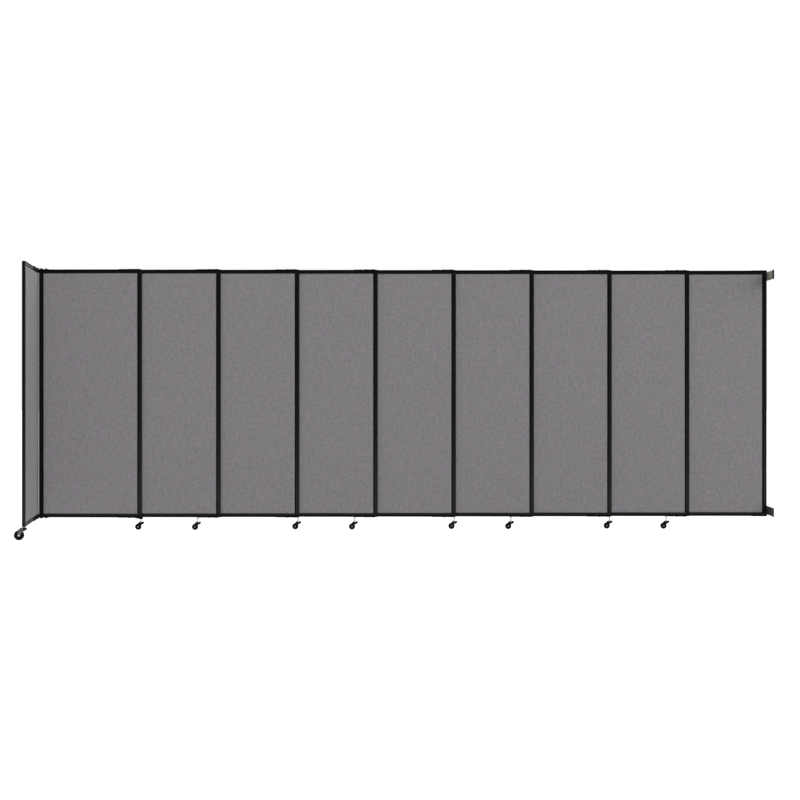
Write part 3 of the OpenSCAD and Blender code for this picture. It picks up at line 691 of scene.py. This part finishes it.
UPPER, LOWER = rail_outline(), trimmed(rail_outline(), TOP_RAIL - BOTTOM_RAIL)
RAIL_TOP = member(UPPER, CAP, WIDTH - CAP)
RAIL_LOW = member(LOWER, CAP, WIDTH - CAP)
POST_FROM, POST_TO = BOTTOM + BOTTOM_RAIL + HAIRLINE, TOP - TOP_RAIL - HAIRLINE
STILE_BAR = member(stile_outline(), POST_FROM, POST_TO)


def panel_frame(panel, place, body, pattern):
    """Four extrusions: rails over the full width, stiles between them. Pattern is the panel's
    number, and moves its grain on, so that no two panels are alike."""
    bm = bmesh.new()
    top, low = EDGES
    for mesh, into in ((RAIL_TOP, top @ ALONG), (RAIL_LOW, low @ ALONG), (STILE_BAR, UPRIGHT),
                       (STILE_BAR, shifted(x=WIDTH) @ Matrix.Diagonal((-1, 1, 1, 1)))):
        taken(bm, mesh.copy(), into)
    grain = bm.verts.layers.float_vector["grain"]
    moved = Vector((pattern * 0.9, pattern * 0.37, 0))
    for vertex in bm.verts:
        vertex[grain] = vertex[grain] + moved
    track = TRACK_HEIGHT + 0.2
    for face in bm.faces:
        x, _, z = face.calc_center_median()
        if z > TOP - track or z < BOTTOM + track:
            face.material_index = 1
        # Painted shade: the stiles' inner strip beside the board gets the near-black matt finish
        elif POST_FROM < z < POST_TO and STILE - INNER_STRIP < min(x, WIDTH - x) < STILE + 1:
            face.material_index = 2
    piece(f"{panel}_extrusions", bm, [SATIN_BLACK, TRACK_BLACK, STILE_STRIP_PAINTED_SHADE], body,
          [f"{panel}_frame"], place)


def rail_caps(panel, place, body):
    """Moulded plugs that close the ends of the rails, with the grooves left open."""
    bm = bmesh.new()
    narrower, sunk = 0.985, 0.2
    for edge, outline in zip(EDGES, (UPPER, LOWER)):
        plug = [(a * narrower, b) for a, b, _ in outline]
        for start, end in ((sunk, CAP), (WIDTH - CAP, WIDTH - sunk)):
            prism(bm, plug, start, end, edge @ ALONG)
    piece(f"{panel}_rail_caps", bm, [PLASTIC_BLACK], body, place=place)


# Fabric boards

def stops(low, high, gap):
    """Grid lines: close together beside the frame, where the cloth dips, and about gap in between."""
    near = [0, 3, 8, 9.5, 11.5, 13.5, 16, 20, 26, 36]
    inner_low, inner_high = low + near[-1], high - near[-1]
    count = max(1, round((inner_high - inner_low) / gap))
    middle = [inner_low + (inner_high - inner_low) * k / count for k in range(1, count)]
    return [low + d for d in near] + middle + [high - d for d in reversed(near)]


def fabric_board(panel, place, body, pattern):
    """The board with its cloth: flat and taut over a thin pad that swells it out almost flush with
    the frame, drawn down into the frame's channel, with the faint unevenness of bonding by hand."""
    bm = bmesh.new()
    low_z, high_z = BOTTOM + BOTTOM_RAIL - CHANNEL_DEPTH + 0.2, TOP - TOP_RAIL + 8
    xs, zs = stops(BOARD_EDGE, WIDTH - BOARD_EDGE, 26), stops(low_z, high_z, 32)
    last_p, last_q = len(xs) - 1, len(zs) - 1
    drawn_down, dip_width, tucked, unevenness = SWELL + 0.15, 3, SWELL + 1.2, 0.16
    weave = bm.verts.layers.float_vector.new("weave")
    sheets = {}
    for side in (-1, 1):
        for p, x in enumerate(xs):
            for q, z in enumerate(zs):
                inside = min(x - STILE, WIDTH - STILE - x, z - BOTTOM - BOTTOM_RAIL, TOP - TOP_RAIL - z)
                dip = drawn_down * math.exp(-(max(inside, 0) / dip_width) ** 2) if inside < 30 else 0.0
                spot = Vector((x / 210 + pattern * 9.7, z / 260, side * 3.3))
                wave = unevenness * noise.noise(spot) if inside > 5 else 0.0
                rim = tucked if p in (0, last_p) or q in (0, last_q) else 0.0
                vertex = bm.verts.new((x, side * (BOARD_THICK / 2 + SWELL - max(dip, rim) + wave), z))
                vertex[weave] = ((side * x + pattern * 977) * SCALE, (z + pattern * 613) * SCALE, 0)
                sheets[side, p, q] = vertex
    for side in (-1, 1):
        for p in range(last_p):
            for q in range(last_q):
                ring = [sheets[side, p, q], sheets[side, p + 1, q], sheets[side, p + 1, q + 1],
                        sheets[side, p, q + 1]]
                bm.faces.new(ring[::-side])
    for p in range(last_p):
        for q, way in ((0, 1), (last_q, -1)):
            ring = [sheets[-1, p, q], sheets[1, p, q], sheets[1, p + 1, q], sheets[-1, p + 1, q]]
            bm.faces.new(ring[::way])
    for q in range(last_q):
        for p, way in ((0, -1), (last_p, 1)):
            ring = [sheets[-1, p, q], sheets[1, p, q], sheets[1, p, q + 1], sheets[-1, p, q + 1]]
            bm.faces.new(ring[::way])
    for face in bm.faces:
        face.smooth = True
    piece(f"{panel}_board", bm, [CLOTH], body, [f"{panel}_infill"], place, sharp=50)


def whole_panel(panel, place, body, pattern):
    panel_frame(panel, place, body, pattern)
    rail_caps(panel, place, body)
    fabric_board(panel, place, body, pattern)


# Slide brackets

def outward(edge):
    """The way out of a panel at its top or bottom edge."""
    return (edge @ Vector((0, 0, 1, 0))).to_3d()


def bracket_rows(i):
    """Where panel i has slide brackets: their start, their length and which way they reach."""
    rows = []
    if i < LAST:
        rows.append((REAR_FROM, REAR_LENGTH, 1))
    if i > 1:
        rows.append((FRONT_FROM, FRONT_LENGTH, -1))
    return rows


def slide_plates(i):
    """Pressed steel plates on packing strips; on the first panel also the foot below its end."""
    bm = bmesh.new()
    for edge in EDGES:
        for start, length, way in bracket_rows(i):
            into = edge @ shifted(x=start) @ Matrix.Diagonal((1, way, 1, 1))
            block(bm, (0, -OWN_EDGE, PLATE_LIFT), (length, REACH, PLATE_LIFT + PLATE), into,
                  upright=2.5, bevel=0.5)
            block(bm, (3, -OWN_EDGE + 0.6, 0), (length - 3, THICK / 2 - 0.6, PLATE_LIFT), into, bevel=0.05)
    if i == 1:
        prism(bm, rounded(foot_outline(), 2.2), 0, FOOT_WIDTH, shifted(WIDTH, FOOT_WIDTH, BOTTOM) @ ACROSS,
              bevel=0.9)
    piece(f"panel_{i}_slide_plates", bm, [POWDER_BLACK], body_of_panel(i),
          [f"panel_{i}_brackets"], PLACES[i])


def foot_outline():
    """The foot's side view, from the panel's right edge: a heel, a hollow and a low blunt toe."""
    shares = [(1.0, 0.0), (1.0, 0.22), (0.85, 0.5), (0.6, 0.6), (0.4, 0.78), (0.25, 1.0), (0.1, 0.89),
              (0.0, 0.33), (0.0, 0.0)]
    return [(FOOT_PAST - FOOT_LENGTH * a, -FOOT_DROP * b - (0.1 if b == 0 else 0)) for a, b in shares]


def slide_screws(i):
    """The screws that hold the slide brackets, and those at the frame's free corners."""
    spots = [(edge @ Vector((x, way * SCREW_Y, PLATE_LIFT + PLATE)), outward(edge))
             for edge in EDGES for start, length, way in bracket_rows(i)
             for x in (start + SCREW_INSET, start + length - SCREW_INSET)]
    bm = bmesh.new()
    taken(bm, fixings(spots, SCREWS, Head_Width=SCREW_WIDTH, Head_Height=SCREW_HEIGHT))
    if i < LAST:
        taken(bm, corner_screws())
    piece(f"panel_{i}_screws", bm, [BLACK_OXIDE], body_of_panel(i), place=PLACES[i])


def corner_screws():
    """The low screws that draw the rails onto the end of the free stile, sunk a little."""
    spots = [(edge @ Vector((CORNER_SCREW_X, 0, -0.2)), outward(edge)) for edge in EDGES]
    return fixings(spots, SCREWS, Head_Width=CORNER_SCREW_WIDTH, Head_Height=CORNER_SCREW_HEIGHT)


def glides(i):
    """Nylon tongues under the plates, round-ended, that run in the next panel's groove."""
    bm = bmesh.new()
    middle = STEP - (GROOVE_FROM + GROOVE_TO) / 2
    for edge in EDGES:
        for start, length, way in bracket_rows(i):
            into = edge @ shifted(x=start) @ Matrix.Diagonal((1, way, 1, 1))
            block(bm, (TONGUE_INSET, middle - TONGUE_HALF, -TONGUE_DEPTH),
                  (length - TONGUE_INSET, middle + TONGUE_HALF, 0.4), into, upright=1.6, bevel=0.3)
    piece(f"panel_{i}_glides", bm, [NYLON], body_of_panel(i), place=PLACES[i])


# Hinge

def hinge():
    """Plate, bolt and pin on the first panel; angle bar, arm and screws on the end panel."""
    plates, pins, arms = bmesh.new(), bmesh.new(), bmesh.new()
    bolts, screws = [], []
    middle, arm_top = -(ARM_FAR + ARM_NEAR) / 2, ARM_Z + PLATE
    for edge in EDGES:
        up = outward(edge)
        block(plates, (PIN_X - 12, -11, 0), (PIN_X + 58, 4.5, PLATE), edge, upright=3, bevel=0.5)
        turned(plates, [(0, 2.5), (8.2, 2.5), (8.2, 3.9), (7.9, WASHER_TOP), (0, WASHER_TOP)],
               edge @ shifted(BOLT_X, BOLT_Y))
        bolts.append((edge @ Vector((BOLT_X, BOLT_Y, WASHER_TOP)), up))
        turned(pins, [(0, -14), (3.6, -14), (4, -13.5), (4, 7.5), (7.1, 7.5), (7.5, 7.9), (7.5, 9.2),
                      (6.6, 10.1), (4.6, 10.5), (0, 10.5)], edge @ shifted(PIN_X))
        bar = [(-ARM_FAR, 0), (-END_OFFSET, 0), (-END_OFFSET, -STRAP_DROP), (-ARM_NEAR, -STRAP_DROP),
               (-ARM_NEAR, ARM_Z), (-ARM_FAR, ARM_Z)]
        prism(arms, rounded(bar, [0.4, 0.3, 0.8, 0.8, 2.6, 0.8]), ARM_START, ARM_START + STRAP_LENGTH,
              edge @ ALONG, bevel=0.5)
        prism(arms, arm_outline(), ARM_Z, arm_top, edge, bevel=0.5)
        screws += [(edge @ Vector((ARM_START + x, middle, arm_top)), up) for x in (24, 52)]
        screws += [(edge @ Vector((ARM_START + x, middle, ARM_Z)), up) for x in (110, 190, 270)]
        screws += [(edge @ Vector((ARM_START + x, -ARM_NEAR, -13)), (0, 1, 0)) for x in (20, 105, 190, 275)]
    taken(plates, fixings(bolts, NUTS, Across_Corners=BOLT_WIDTH, Height=BOLT_HEIGHT))
    taken(arms, fixings(screws, SCREWS, Head_Width=HINGE_SCREW_WIDTH, Head_Height=HINGE_SCREW_HEIGHT))
    piece("hinge_plates_and_bolts", plates, [POWDER_BLACK], "panel_1",
          ["panel_1_hinge_plates"], PLACES[1])
    piece("hinge_pivot_pins", pins, [BLACK_OXIDE], "panel_1", ["hinge_pins"],
          PLACES[1])
    piece("end_panel_angle_bars", arms, [POWDER_BLACK], "end_panel",
          ["end_panel_hinge_arms"], END_HINGE)


def arm_outline():
    """The arm seen from above: a round eye on the pin, widening to the foot on the bar."""
    eye = [(ARM_EYE * math.cos(math.radians(turn)), ARM_EYE * math.sin(math.radians(turn)), 0)
           for turn in range(0, 181, 15)]
    inset, foot_end = 0.5, ARM_START + ARM_FOOT
    far, near = -ARM_FAR + inset, -ARM_NEAR - inset
    foot = rounded([(-ARM_EYE, -inset), (ARM_START, far), (foot_end, far), (foot_end, near),
                    (ARM_START + ARM_NECK, near), (ARM_EYE, -inset)], [0, 3, 4, 4, 6, 0])
    return eye + foot


# Casters

def side_outline(kind):
    """A fork's cheek from the side: the boss round the axle, widening to the crown under the head."""
    boss, crown = kind["boss"], kind["crown"]
    centre = Vector((-kind["trail"], kind["wheel"] / 2))
    run = ((Vector(crown[0]) + Vector(crown[-1])) / 2 - centre).normalized()
    side = Vector((-run.y, run.x))
    first, steps = math.atan2(side.y, side.x), 12
    turns = [first + math.pi * k / steps for k in range(steps + 1)]
    arc = [centre + boss * Vector((math.cos(turn), math.sin(turn))) for turn in turns]
    return [(p.x, p.y) for p in arc] + crown


def fork_body(kind):
    """Cheeks and crown in one: the side outline through the whole width, less the wheel's well."""
    outer = bmesh.new()
    prism(outer, side_outline(kind), -kind["half"], kind["half"], ACROSS)
    inner, inside = bmesh.new(), kind["half"] - kind["cheek"]
    well = circle(kind["well"], 48, -kind["trail"], kind["wheel"] / 2)
    prism(inner, well, -inside, inside, ACROSS)
    return cut_out(outer, inner, 0.6)


def on_axle(kind):
    """The matrix that lays a turned solid along a caster's axle."""
    return shifted(-kind["trail"], 0, kind["wheel"] / 2) @ Matrix.Rotation(math.pi / 2, 4, "X")


def axle_caps(kind):
    """Riveted axle ends: a domed cap with a centre dimple outside each cheek."""
    bm = bmesh.new()
    half, cap = kind["half"], kind["cap"] / 2
    for way in (1, -1):
        face = Matrix.Diagonal((1, way, 1, 1)) @ shifted(y=-half) @ on_axle(kind)
        turned(bm, [(0, -2.4), (cap * 0.5, -2.4), (cap * 0.5, 0.1), (cap - 0.3, 0.1), (cap, 0.5),
                    (cap, 1.1), (cap * 0.85, 1.8), (cap * 0.55, 2.1), (cap * 0.3, 2.1), (cap * 0.16, 1.5),
                    (0, 1.4)], face, 28)
    rod = [(0, -half), (kind["axle"] / 2, -half), (kind["axle"] / 2, half), (0, half)]
    turned(bm, rod, on_axle(kind), 24)
    return bm


def mirrored(profile):
    """A closed profile from its lower half, with the same half turned over above it."""
    return profile + [(radius, -height) for radius, height in reversed(profile)]


def wheel_parts(kind, ribs):
    """A tyre with a crowned tread and shoulder beads, and a moulded hub with ribs and a boss."""
    radius, half, tyre = kind["wheel"] / 2, kind["tread"] / 2, kind["tyre"]
    rim, bead = radius - tyre, half * 0.72
    bore, boss, web, wall = kind["axle"] / 2 + 0.05, kind["axle"] / 2 + 3, half * 0.25, half * 0.84
    rubber, hub = bmesh.new(), bmesh.new()
    section = [(rim, -half * 0.8), (rim + 1, -half + 0.5), (radius - tyre * 0.45, -half),
               (radius - tyre * 0.2, -half * 0.96), (radius - 1.2, -bead * 1.1),
               (radius - 0.35, -bead * 0.8), (radius, -bead * 0.4)]
    turned(rubber, mirrored(section), on_axle(kind), 56)
    core = [(bore, -half), (boss, -half), (boss + 0.6, -half + 0.8), (boss + 1, -web), (rim - 2.2, -web),
            (rim - 1.6, -wall), (rim - 0.05, -wall)]
    turned(hub, mirrored(core), on_axle(kind), 48)
    centre = Vector((-kind["trail"], 0, radius))
    taken(hub, fixings([(centre, (0, 1, 0))], RIBS, Count=ribs, Inner_Radius=boss, Outer_Radius=rim - 1.4,
                       Thickness=1.4, Depth=half * 1.5))
    return rubber, hub


# Side views, from the floor under the stem: the small hood's lobe and lever, and the end guard
SMALL_LOBE = [(-21, 54), (-15, 63), (-11.5, 65.8), (-5.6, 65.2), (-5.6, 52), (-20, 52)]
SMALL_LEVER = [(5.6, 44), (5.6, 62.5), (12, 65.6), (21, 65.6), (25, 61), (24, 53), (18, 48), (11, 44)]
END_GUARD = [(-16, 72.5), (-9, 67), (-1, 66), (6, 72.5), (15, 77), (20.5, 80.5), (21.5, 84.5), (18, 87.5),
             (-16, 87.5)]


def small_caster(i, side):
    """A swivel caster: moulded fork whose hood rises in two lobes beside the stem, the outer one a
    brake lever, with its riveted axle and wheel."""
    name = f"panel_{i}_{side}"
    place = caster_place(f"{name}_swivel")
    body = bmesh.new()
    taken(body, FORKS["small"].copy())
    collar = [(0, 51), (11.4, 51), (12.2, 51.8), (12.2, 57.4), (11.2, 58.6), (6.2, 58.8), (5.4, 58.2),
              (5.4, 56.2), (0, 56.2)]
    turned(body, collar, UPRIGHT, 40)
    for outline, half in ((SMALL_LOBE, 9.5), (SMALL_LEVER, 8)):
        prism(body, rounded(outline, 2.4), -half, half, ACROSS, bevel=1.2)
    piece(f"{name}_caster_fork", body, [PLASTIC_BLACK], f"{name}_caster",
          [f"{name}_fork"], place)
    piece(f"{name}_axle", axle_caps(SMALL), [DULL_ZINC], f"{name}_caster", place=place)
    rubber, hub = wheel_parts(SMALL, 6)
    piece(f"{name}_tyre", rubber, [RUBBER_BLACK], f"{name}_wheel", [f"{name}_wheel"], place)
    piece(f"{name}_hub", hub, [PLASTIC_BLACK], f"{name}_wheel", place=place)


def caster_stems(i):
    """Threaded stems under a panel with their nuts and spacers."""
    bm = bmesh.new()
    rod = [(0, 56.5), (3, 56.5), (3.6, 57.2), (3.6, 96), (3.6, STEM_TOP), (0, STEM_TOP)]
    spacer = [(3.4, 95.5), (4.7, 95.5), (5, 95.8), (5, 101.6), (4.7, SPACER_TOP), (3.4, SPACER_TOP)]
    nuts, threads, up = [], [], (0, 0, 1)
    for x in (STEM_INSET, WIDTH - STEM_INSET):
        turned(bm, rod, shifted(x=x), 24)
        turned(bm, spacer, shifted(x=x), 28)
        nuts += [((x, 0, LOW_NUT), up), ((x, 0, HIGH_NUT), up)]
        threads.append(((x, 0, THREAD_FROM), up))
    taken(bm, fixings(nuts, NUTS, Across_Corners=NUT_WIDTH, Height=NUT_HEIGHT))
    taken(bm, fixings(threads, THREADS, Diameter=7.3, Pitch=1.25, Length=25.0, Ridge=0.36))
    piece(f"panel_{i}_stems", bm, [ZINC], f"panel_{i}", [f"panel_{i}_caster_stems"], PLACES[i])


def end_caster():
    """The larger caster at the end panel's free end: zinc fork, black swivel head with its guard,
    wheel."""
    place = caster_place("end_caster_swivel", end_turn + math.pi / 2)
    stem = bmesh.new()
    turned(stem, [(0, 81.5), (4.4, 81.5), (4.8, 82.2), (4.8, STEM_TOP), (0, STEM_TOP)], UPRIGHT, 28)
    turned(stem, [(4.6, 95.5), (8.4, 95.5), (9, 96.1), (9, 101.3), (8.6, 101.9), (4.6, 101.9)], UPRIGHT, 36)
    piece("end_panel_stem", stem, [ZINC], "end_panel", ["end_caster_stem"], place)
    head = bmesh.new()
    turned(head, [(0, 77), (13, 77), (14.1, 77.8), (14.5, 79), (14.5, 91), (13.9, 93.6), (12.4, 95),
                  (6, 95), (5.2, 94.4), (5.2, 92), (0, 92)], UPRIGHT, 44)
    turned(head, [(14.3, 84.4), (14.62, 84.7), (14.62, 85.9), (14.3, 86.2)], UPRIGHT, 44)
    prism(head, rounded(END_GUARD, 2), -12.5, 12.5, ACROSS, bevel=1.2)
    piece("end_caster_swivel_head", head, [PLASTIC_BLACK], "end_caster",
          ["end_caster_head"], place)
    fork = bmesh.new()
    taken(fork, FORKS["end"].copy())
    head_side = 14.75
    for way in (-1, 1):
        low, high = sorted((way * END["half"], way * head_side))
        block(fork, (-26, low + 0.3, 80.2), (5, high - 0.1, 83.8), UPRIGHT, bevel=0.3)
    piece("end_caster_cheeks", fork, [DARK_ZINC], "end_caster", ["end_caster_fork"], place)
    piece("end_caster_rivet", axle_caps(END), [ZINC], "end_caster", ["end_caster_axle"], place)
    rubber, hub = wheel_parts(END, 8)
    piece("end_wheel_tyre", rubber, [RUBBER_BLACK], "end_wheel", ["end_caster_wheel"], place)
    piece("end_wheel_hub", hub, [PLASTIC_BLACK], "end_wheel", place=place)


# Wall brackets

def wall_brackets():
    """Pressed steel plates with a lip and an arm, drilled for four screws each."""
    low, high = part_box("wall_brackets")
    place = Matrix.Translation((high.x - WALL_PLATE * SCALE, low.y, 0)) @ Matrix.Scale(SCALE, 4)
    depth = (high.y - low.y) / SCALE
    plan = rounded([(-LIP, 0), (WALL_PLATE, 0), (WALL_PLATE, depth), (0, depth), (0, WALL_PLATE),
                    (-LIP, WALL_PLATE)], [0.8, 3.5, 0.8, 0.8, 1.5, 0.8])
    arm = REAR_FROM - WIDTH
    profile = rounded([(arm, 0), (0, 0), (0, ARM_DROP), (WALL_PLATE, ARM_DROP), (WALL_PLATE, PLATE),
                       (arm, PLATE)], [0.8, 1.5, 0.3, 0.3, 3.5, 0.8])
    bm, screws = bmesh.new(), []
    grey, zinc, dark, black = range(4)
    # The lower plate takes the darker copy of the grey paint, as painted shade
    for edge, paint in zip(EDGES, (grey, dark)):
        plate = bmesh.new()
        prism(plate, plan, WALL_BOTTOM, WALL_TOP, UPRIGHT)
        taken(bm, drilled(plate, depth), edge, paint)
        prism(bm, profile, -depth, -(depth - WALL_ARM_WIDTH), edge @ ACROSS, paint, bevel=0.5)
        screws += [(edge @ Vector((arm + x, depth - THICK / 2 + SCREW_Y, PLATE)), outward(edge))
                   for x in (SCREW_INSET, REAR_LENGTH - SCREW_INSET)]
    taken(bm, fixings(screws, SCREWS, Head_Width=SCREW_WIDTH, Head_Height=SCREW_HEIGHT), slot=zinc)
    # Painted shade: the lip of the upper plate takes the black moulded finish so that it reads darker
    for face in bm.faces:
        middle = face.calc_center_median()
        on_shaded_lip = middle.y < WALL_PLATE + 0.5
        if on_shaded_lip and middle.z > (BOTTOM + TOP) / 2 and face.material_index != zinc:
            face.material_index = black
    piece("wall_bracket_plates", bm, [WALL_GREY, ZINC, WALL_GREY_PAINTED_SHADE, PLASTIC_BLACK], "wall_panel",
          ["wall_brackets"], place)


def drilled(plate, depth):
    """Cuts a wall plate's four screw holes and softens its edges."""
    holes = bmesh.new()
    middle, past, length = (WALL_TOP + WALL_BOTTOM) / 2, 2, WALL_PLATE + 4
    for y in (-HOLE_Y, HOLE_Y):
        for z in (-HOLE_Z, HOLE_Z):
            into = shifted(-past, depth / 2 + y, middle + z) @ Matrix.Rotation(math.pi / 2, 4, "Y")
            turned(holes, [(0, 0), (HOLE_RADIUS, 0), (HOLE_RADIUS, length), (0, length)], into, 28)
    return cut_out(plate, holes, 0.5)


# The object

for i in PANELS:
    whole_panel(f"panel_{i}", PLACES[i], body_of_panel(i), i)
    slide_plates(i)
    slide_screws(i)
    glides(i)
whole_panel("end_panel", END_PLACE, "end_panel", LAST + 1)
end_corner = bmesh.new()
taken(end_corner, corner_screws())
piece("end_panel_screws", end_corner, [BLACK_OXIDE], "end_panel", place=END_PLACE)
for loose in (RAIL_TOP, RAIL_LOW, STILE_BAR):
    bpy.data.meshes.remove(loose)

hinge()
FORKS = {"small": fork_body(SMALL), "end": fork_body(END)}
for i in CARRIED:
    caster_stems(i)
    for side in SIDES:
        small_caster(i, side)
end_caster()
for mesh in FORKS.values():
    bpy.data.meshes.remove(mesh)
wall_brackets()


# Floor, light and camera

# The floor's own glow, the room's sheen in front of and behind the object, and the room's light
FLOOR_GLOW, ROOM_SHEEN, BACK_SHEEN, ROOM_LIGHT = 0.7, 0.1, 0.5, 0.15
# The camera as fitted: the picture's width, the focal length and the shift in pixels, and its
# sensor in millimetres; then its place in metres and its turn in degrees
PICTURE, FOCAL, SHIFT, SENSOR = 800, 1491, -13.316, 36
CAMERA_AT, CAMERA_TURN = (0.2277, -11.5691, 1.146), 1.219


def ray_kinds(tree):
    """Two outputs: 1 for a ray from the camera, and 1 for a ray that makes up a surface's sheen."""
    rays = add(tree, "ShaderNodeLightPath").outputs
    shiny = add(tree, "ShaderNodeMath", {0: rays["Is Glossy Ray"], 1: rays["Is Transmission Ray"]},
                operation="MAXIMUM")
    return rays["Is Camera Ray"], shiny


def stage_floor():
    """A white sweep. Far in front of the object the studio floor goes dark, and behind it painted shade
    dims the floor, which only shows in the sheen of the frames; to the camera the floor is white, with
    the object's shadow."""
    bm = bmesh.new()
    bmesh.ops.create_grid(bm, x_segments=1, y_segments=1, size=60)
    floor = linked("studio_floor", bm)
    floor.location.z = -0.0004
    material, tree = finish_start("studio_floor_white")
    place = add(tree, "ShaderNodeSeparateXYZ", {"Vector": add(tree, "ShaderNodeTexCoord").outputs["Object"]})
    near = add(tree, "ShaderNodeMapRange", {"Value": place.outputs[1], "From Min": -6.2, "From Max": -4.6,
                                            "To Min": 0.25})
    # Painted shade: behind the object the floor's sheen is dimmed where the object shades it
    behind = add(tree, "ShaderNodeMapRange", {"Value": place.outputs[1], "From Min": -0.8, "From Max": 0.0,
                                              "To Min": 1.0, "To Max": 0.35})
    sheen = add(tree, "ShaderNodeMath", {0: near, 1: behind}, operation="MULTIPLY")
    seen, shiny = ray_kinds(tree)
    glow = add(tree, "ShaderNodeMath", {0: seen, 1: FLOOR_GLOW}, operation="MULTIPLY")
    lit = add(tree, "ShaderNodeAddShader", {
        0: add(tree, "ShaderNodeBsdfDiffuse", {"Color": linear("#E6E6E6")}),
        1: add(tree, "ShaderNodeEmission", {"Strength": glow})})
    mixed = add(tree, "ShaderNodeMixShader", {0: shiny, 1: lit,
                                              2: add(tree, "ShaderNodeEmission", {"Strength": sheen})})
    add(tree, "ShaderNodeOutputMaterial", {"Surface": mixed})
    floor.data.materials.append(material)


def studio_air():
    """White all round to the camera. In the frames' sheen the backdrop behind the object is half as
    bright and the room on the camera's side is dim; the rest is the even light of the room."""
    world = bpy.data.worlds.new("studio")
    bpy.context.scene.world = world
    world.use_nodes = True
    tree = world.node_tree
    tree.nodes.clear()
    toward = add(tree, "ShaderNodeSeparateXYZ",
                 {"Vector": add(tree, "ShaderNodeTexCoord").outputs["Generated"]})
    room = add(tree, "ShaderNodeMapRange", {"Value": toward.outputs[1], "From Min": -0.25, "From Max": 0.35,
                                            "To Min": ROOM_SHEEN, "To Max": BACK_SHEEN})
    seen, shiny = ray_kinds(tree)
    soft = add(tree, "ShaderNodeMix", {"Factor": shiny, "A": ROOM_LIGHT, "B": room}, data_type="FLOAT")
    strength = add(tree, "ShaderNodeMix", {"Factor": seen, "A": soft, "B": 1.0}, data_type="FLOAT")
    ground = add(tree, "ShaderNodeBackground", {"Color": (1, 1, 1, 1), "Strength": strength})
    add(tree, "ShaderNodeOutputWorld", {"Surface": ground})


def lamp(name, turn, lift, strength, spread_deg, shines=True):
    """A very soft lamp far away: turn is where it stands round the object, 0 in front. One that
    doesn't shine leaves no gloss, so that the frames stay black where they are seen edge on."""
    light = bpy.data.lights.new(name, "SUN")
    light.energy, light.angle = strength, math.radians(spread_deg)
    thing = bpy.data.objects.new(name, light)
    bpy.context.scene.collection.objects.link(thing)
    a, e = math.radians(turn), math.radians(lift)
    back = Vector((math.sin(a) * math.cos(e), -math.cos(a) * math.cos(e), math.sin(e)))
    thing.rotation_euler = back.to_track_quat("Z", "Y").to_euler()
    thing.visible_glossy = shines


stage_floor()
studio_air()
lamp("key", 24, 28, 1.8, 44, shines=False)
lamp("right_side", 78, 22, 1.6, 50)
lamp("back_left", 150, 35, 0.9, 50, shines=False)
lamp("back_right", -140, 25, 0.9, 60, shines=False)

camera_data = bpy.data.cameras.new("camera")
camera_data.sensor_width = SENSOR
camera_data.lens = SENSOR * FOCAL / PICTURE
camera_data.shift_y = SHIFT / PICTURE
camera_data.clip_end = 200
camera = bpy.data.objects.new("camera", camera_data)
bpy.context.scene.collection.objects.link(camera)
camera.location = CAMERA_AT
camera.rotation_euler = (math.pi / 2, 0, math.radians(CAMERA_TURN))
bpy.context.scene.camera = camera
bpy.context.scene.view_settings.view_transform = "Standard"
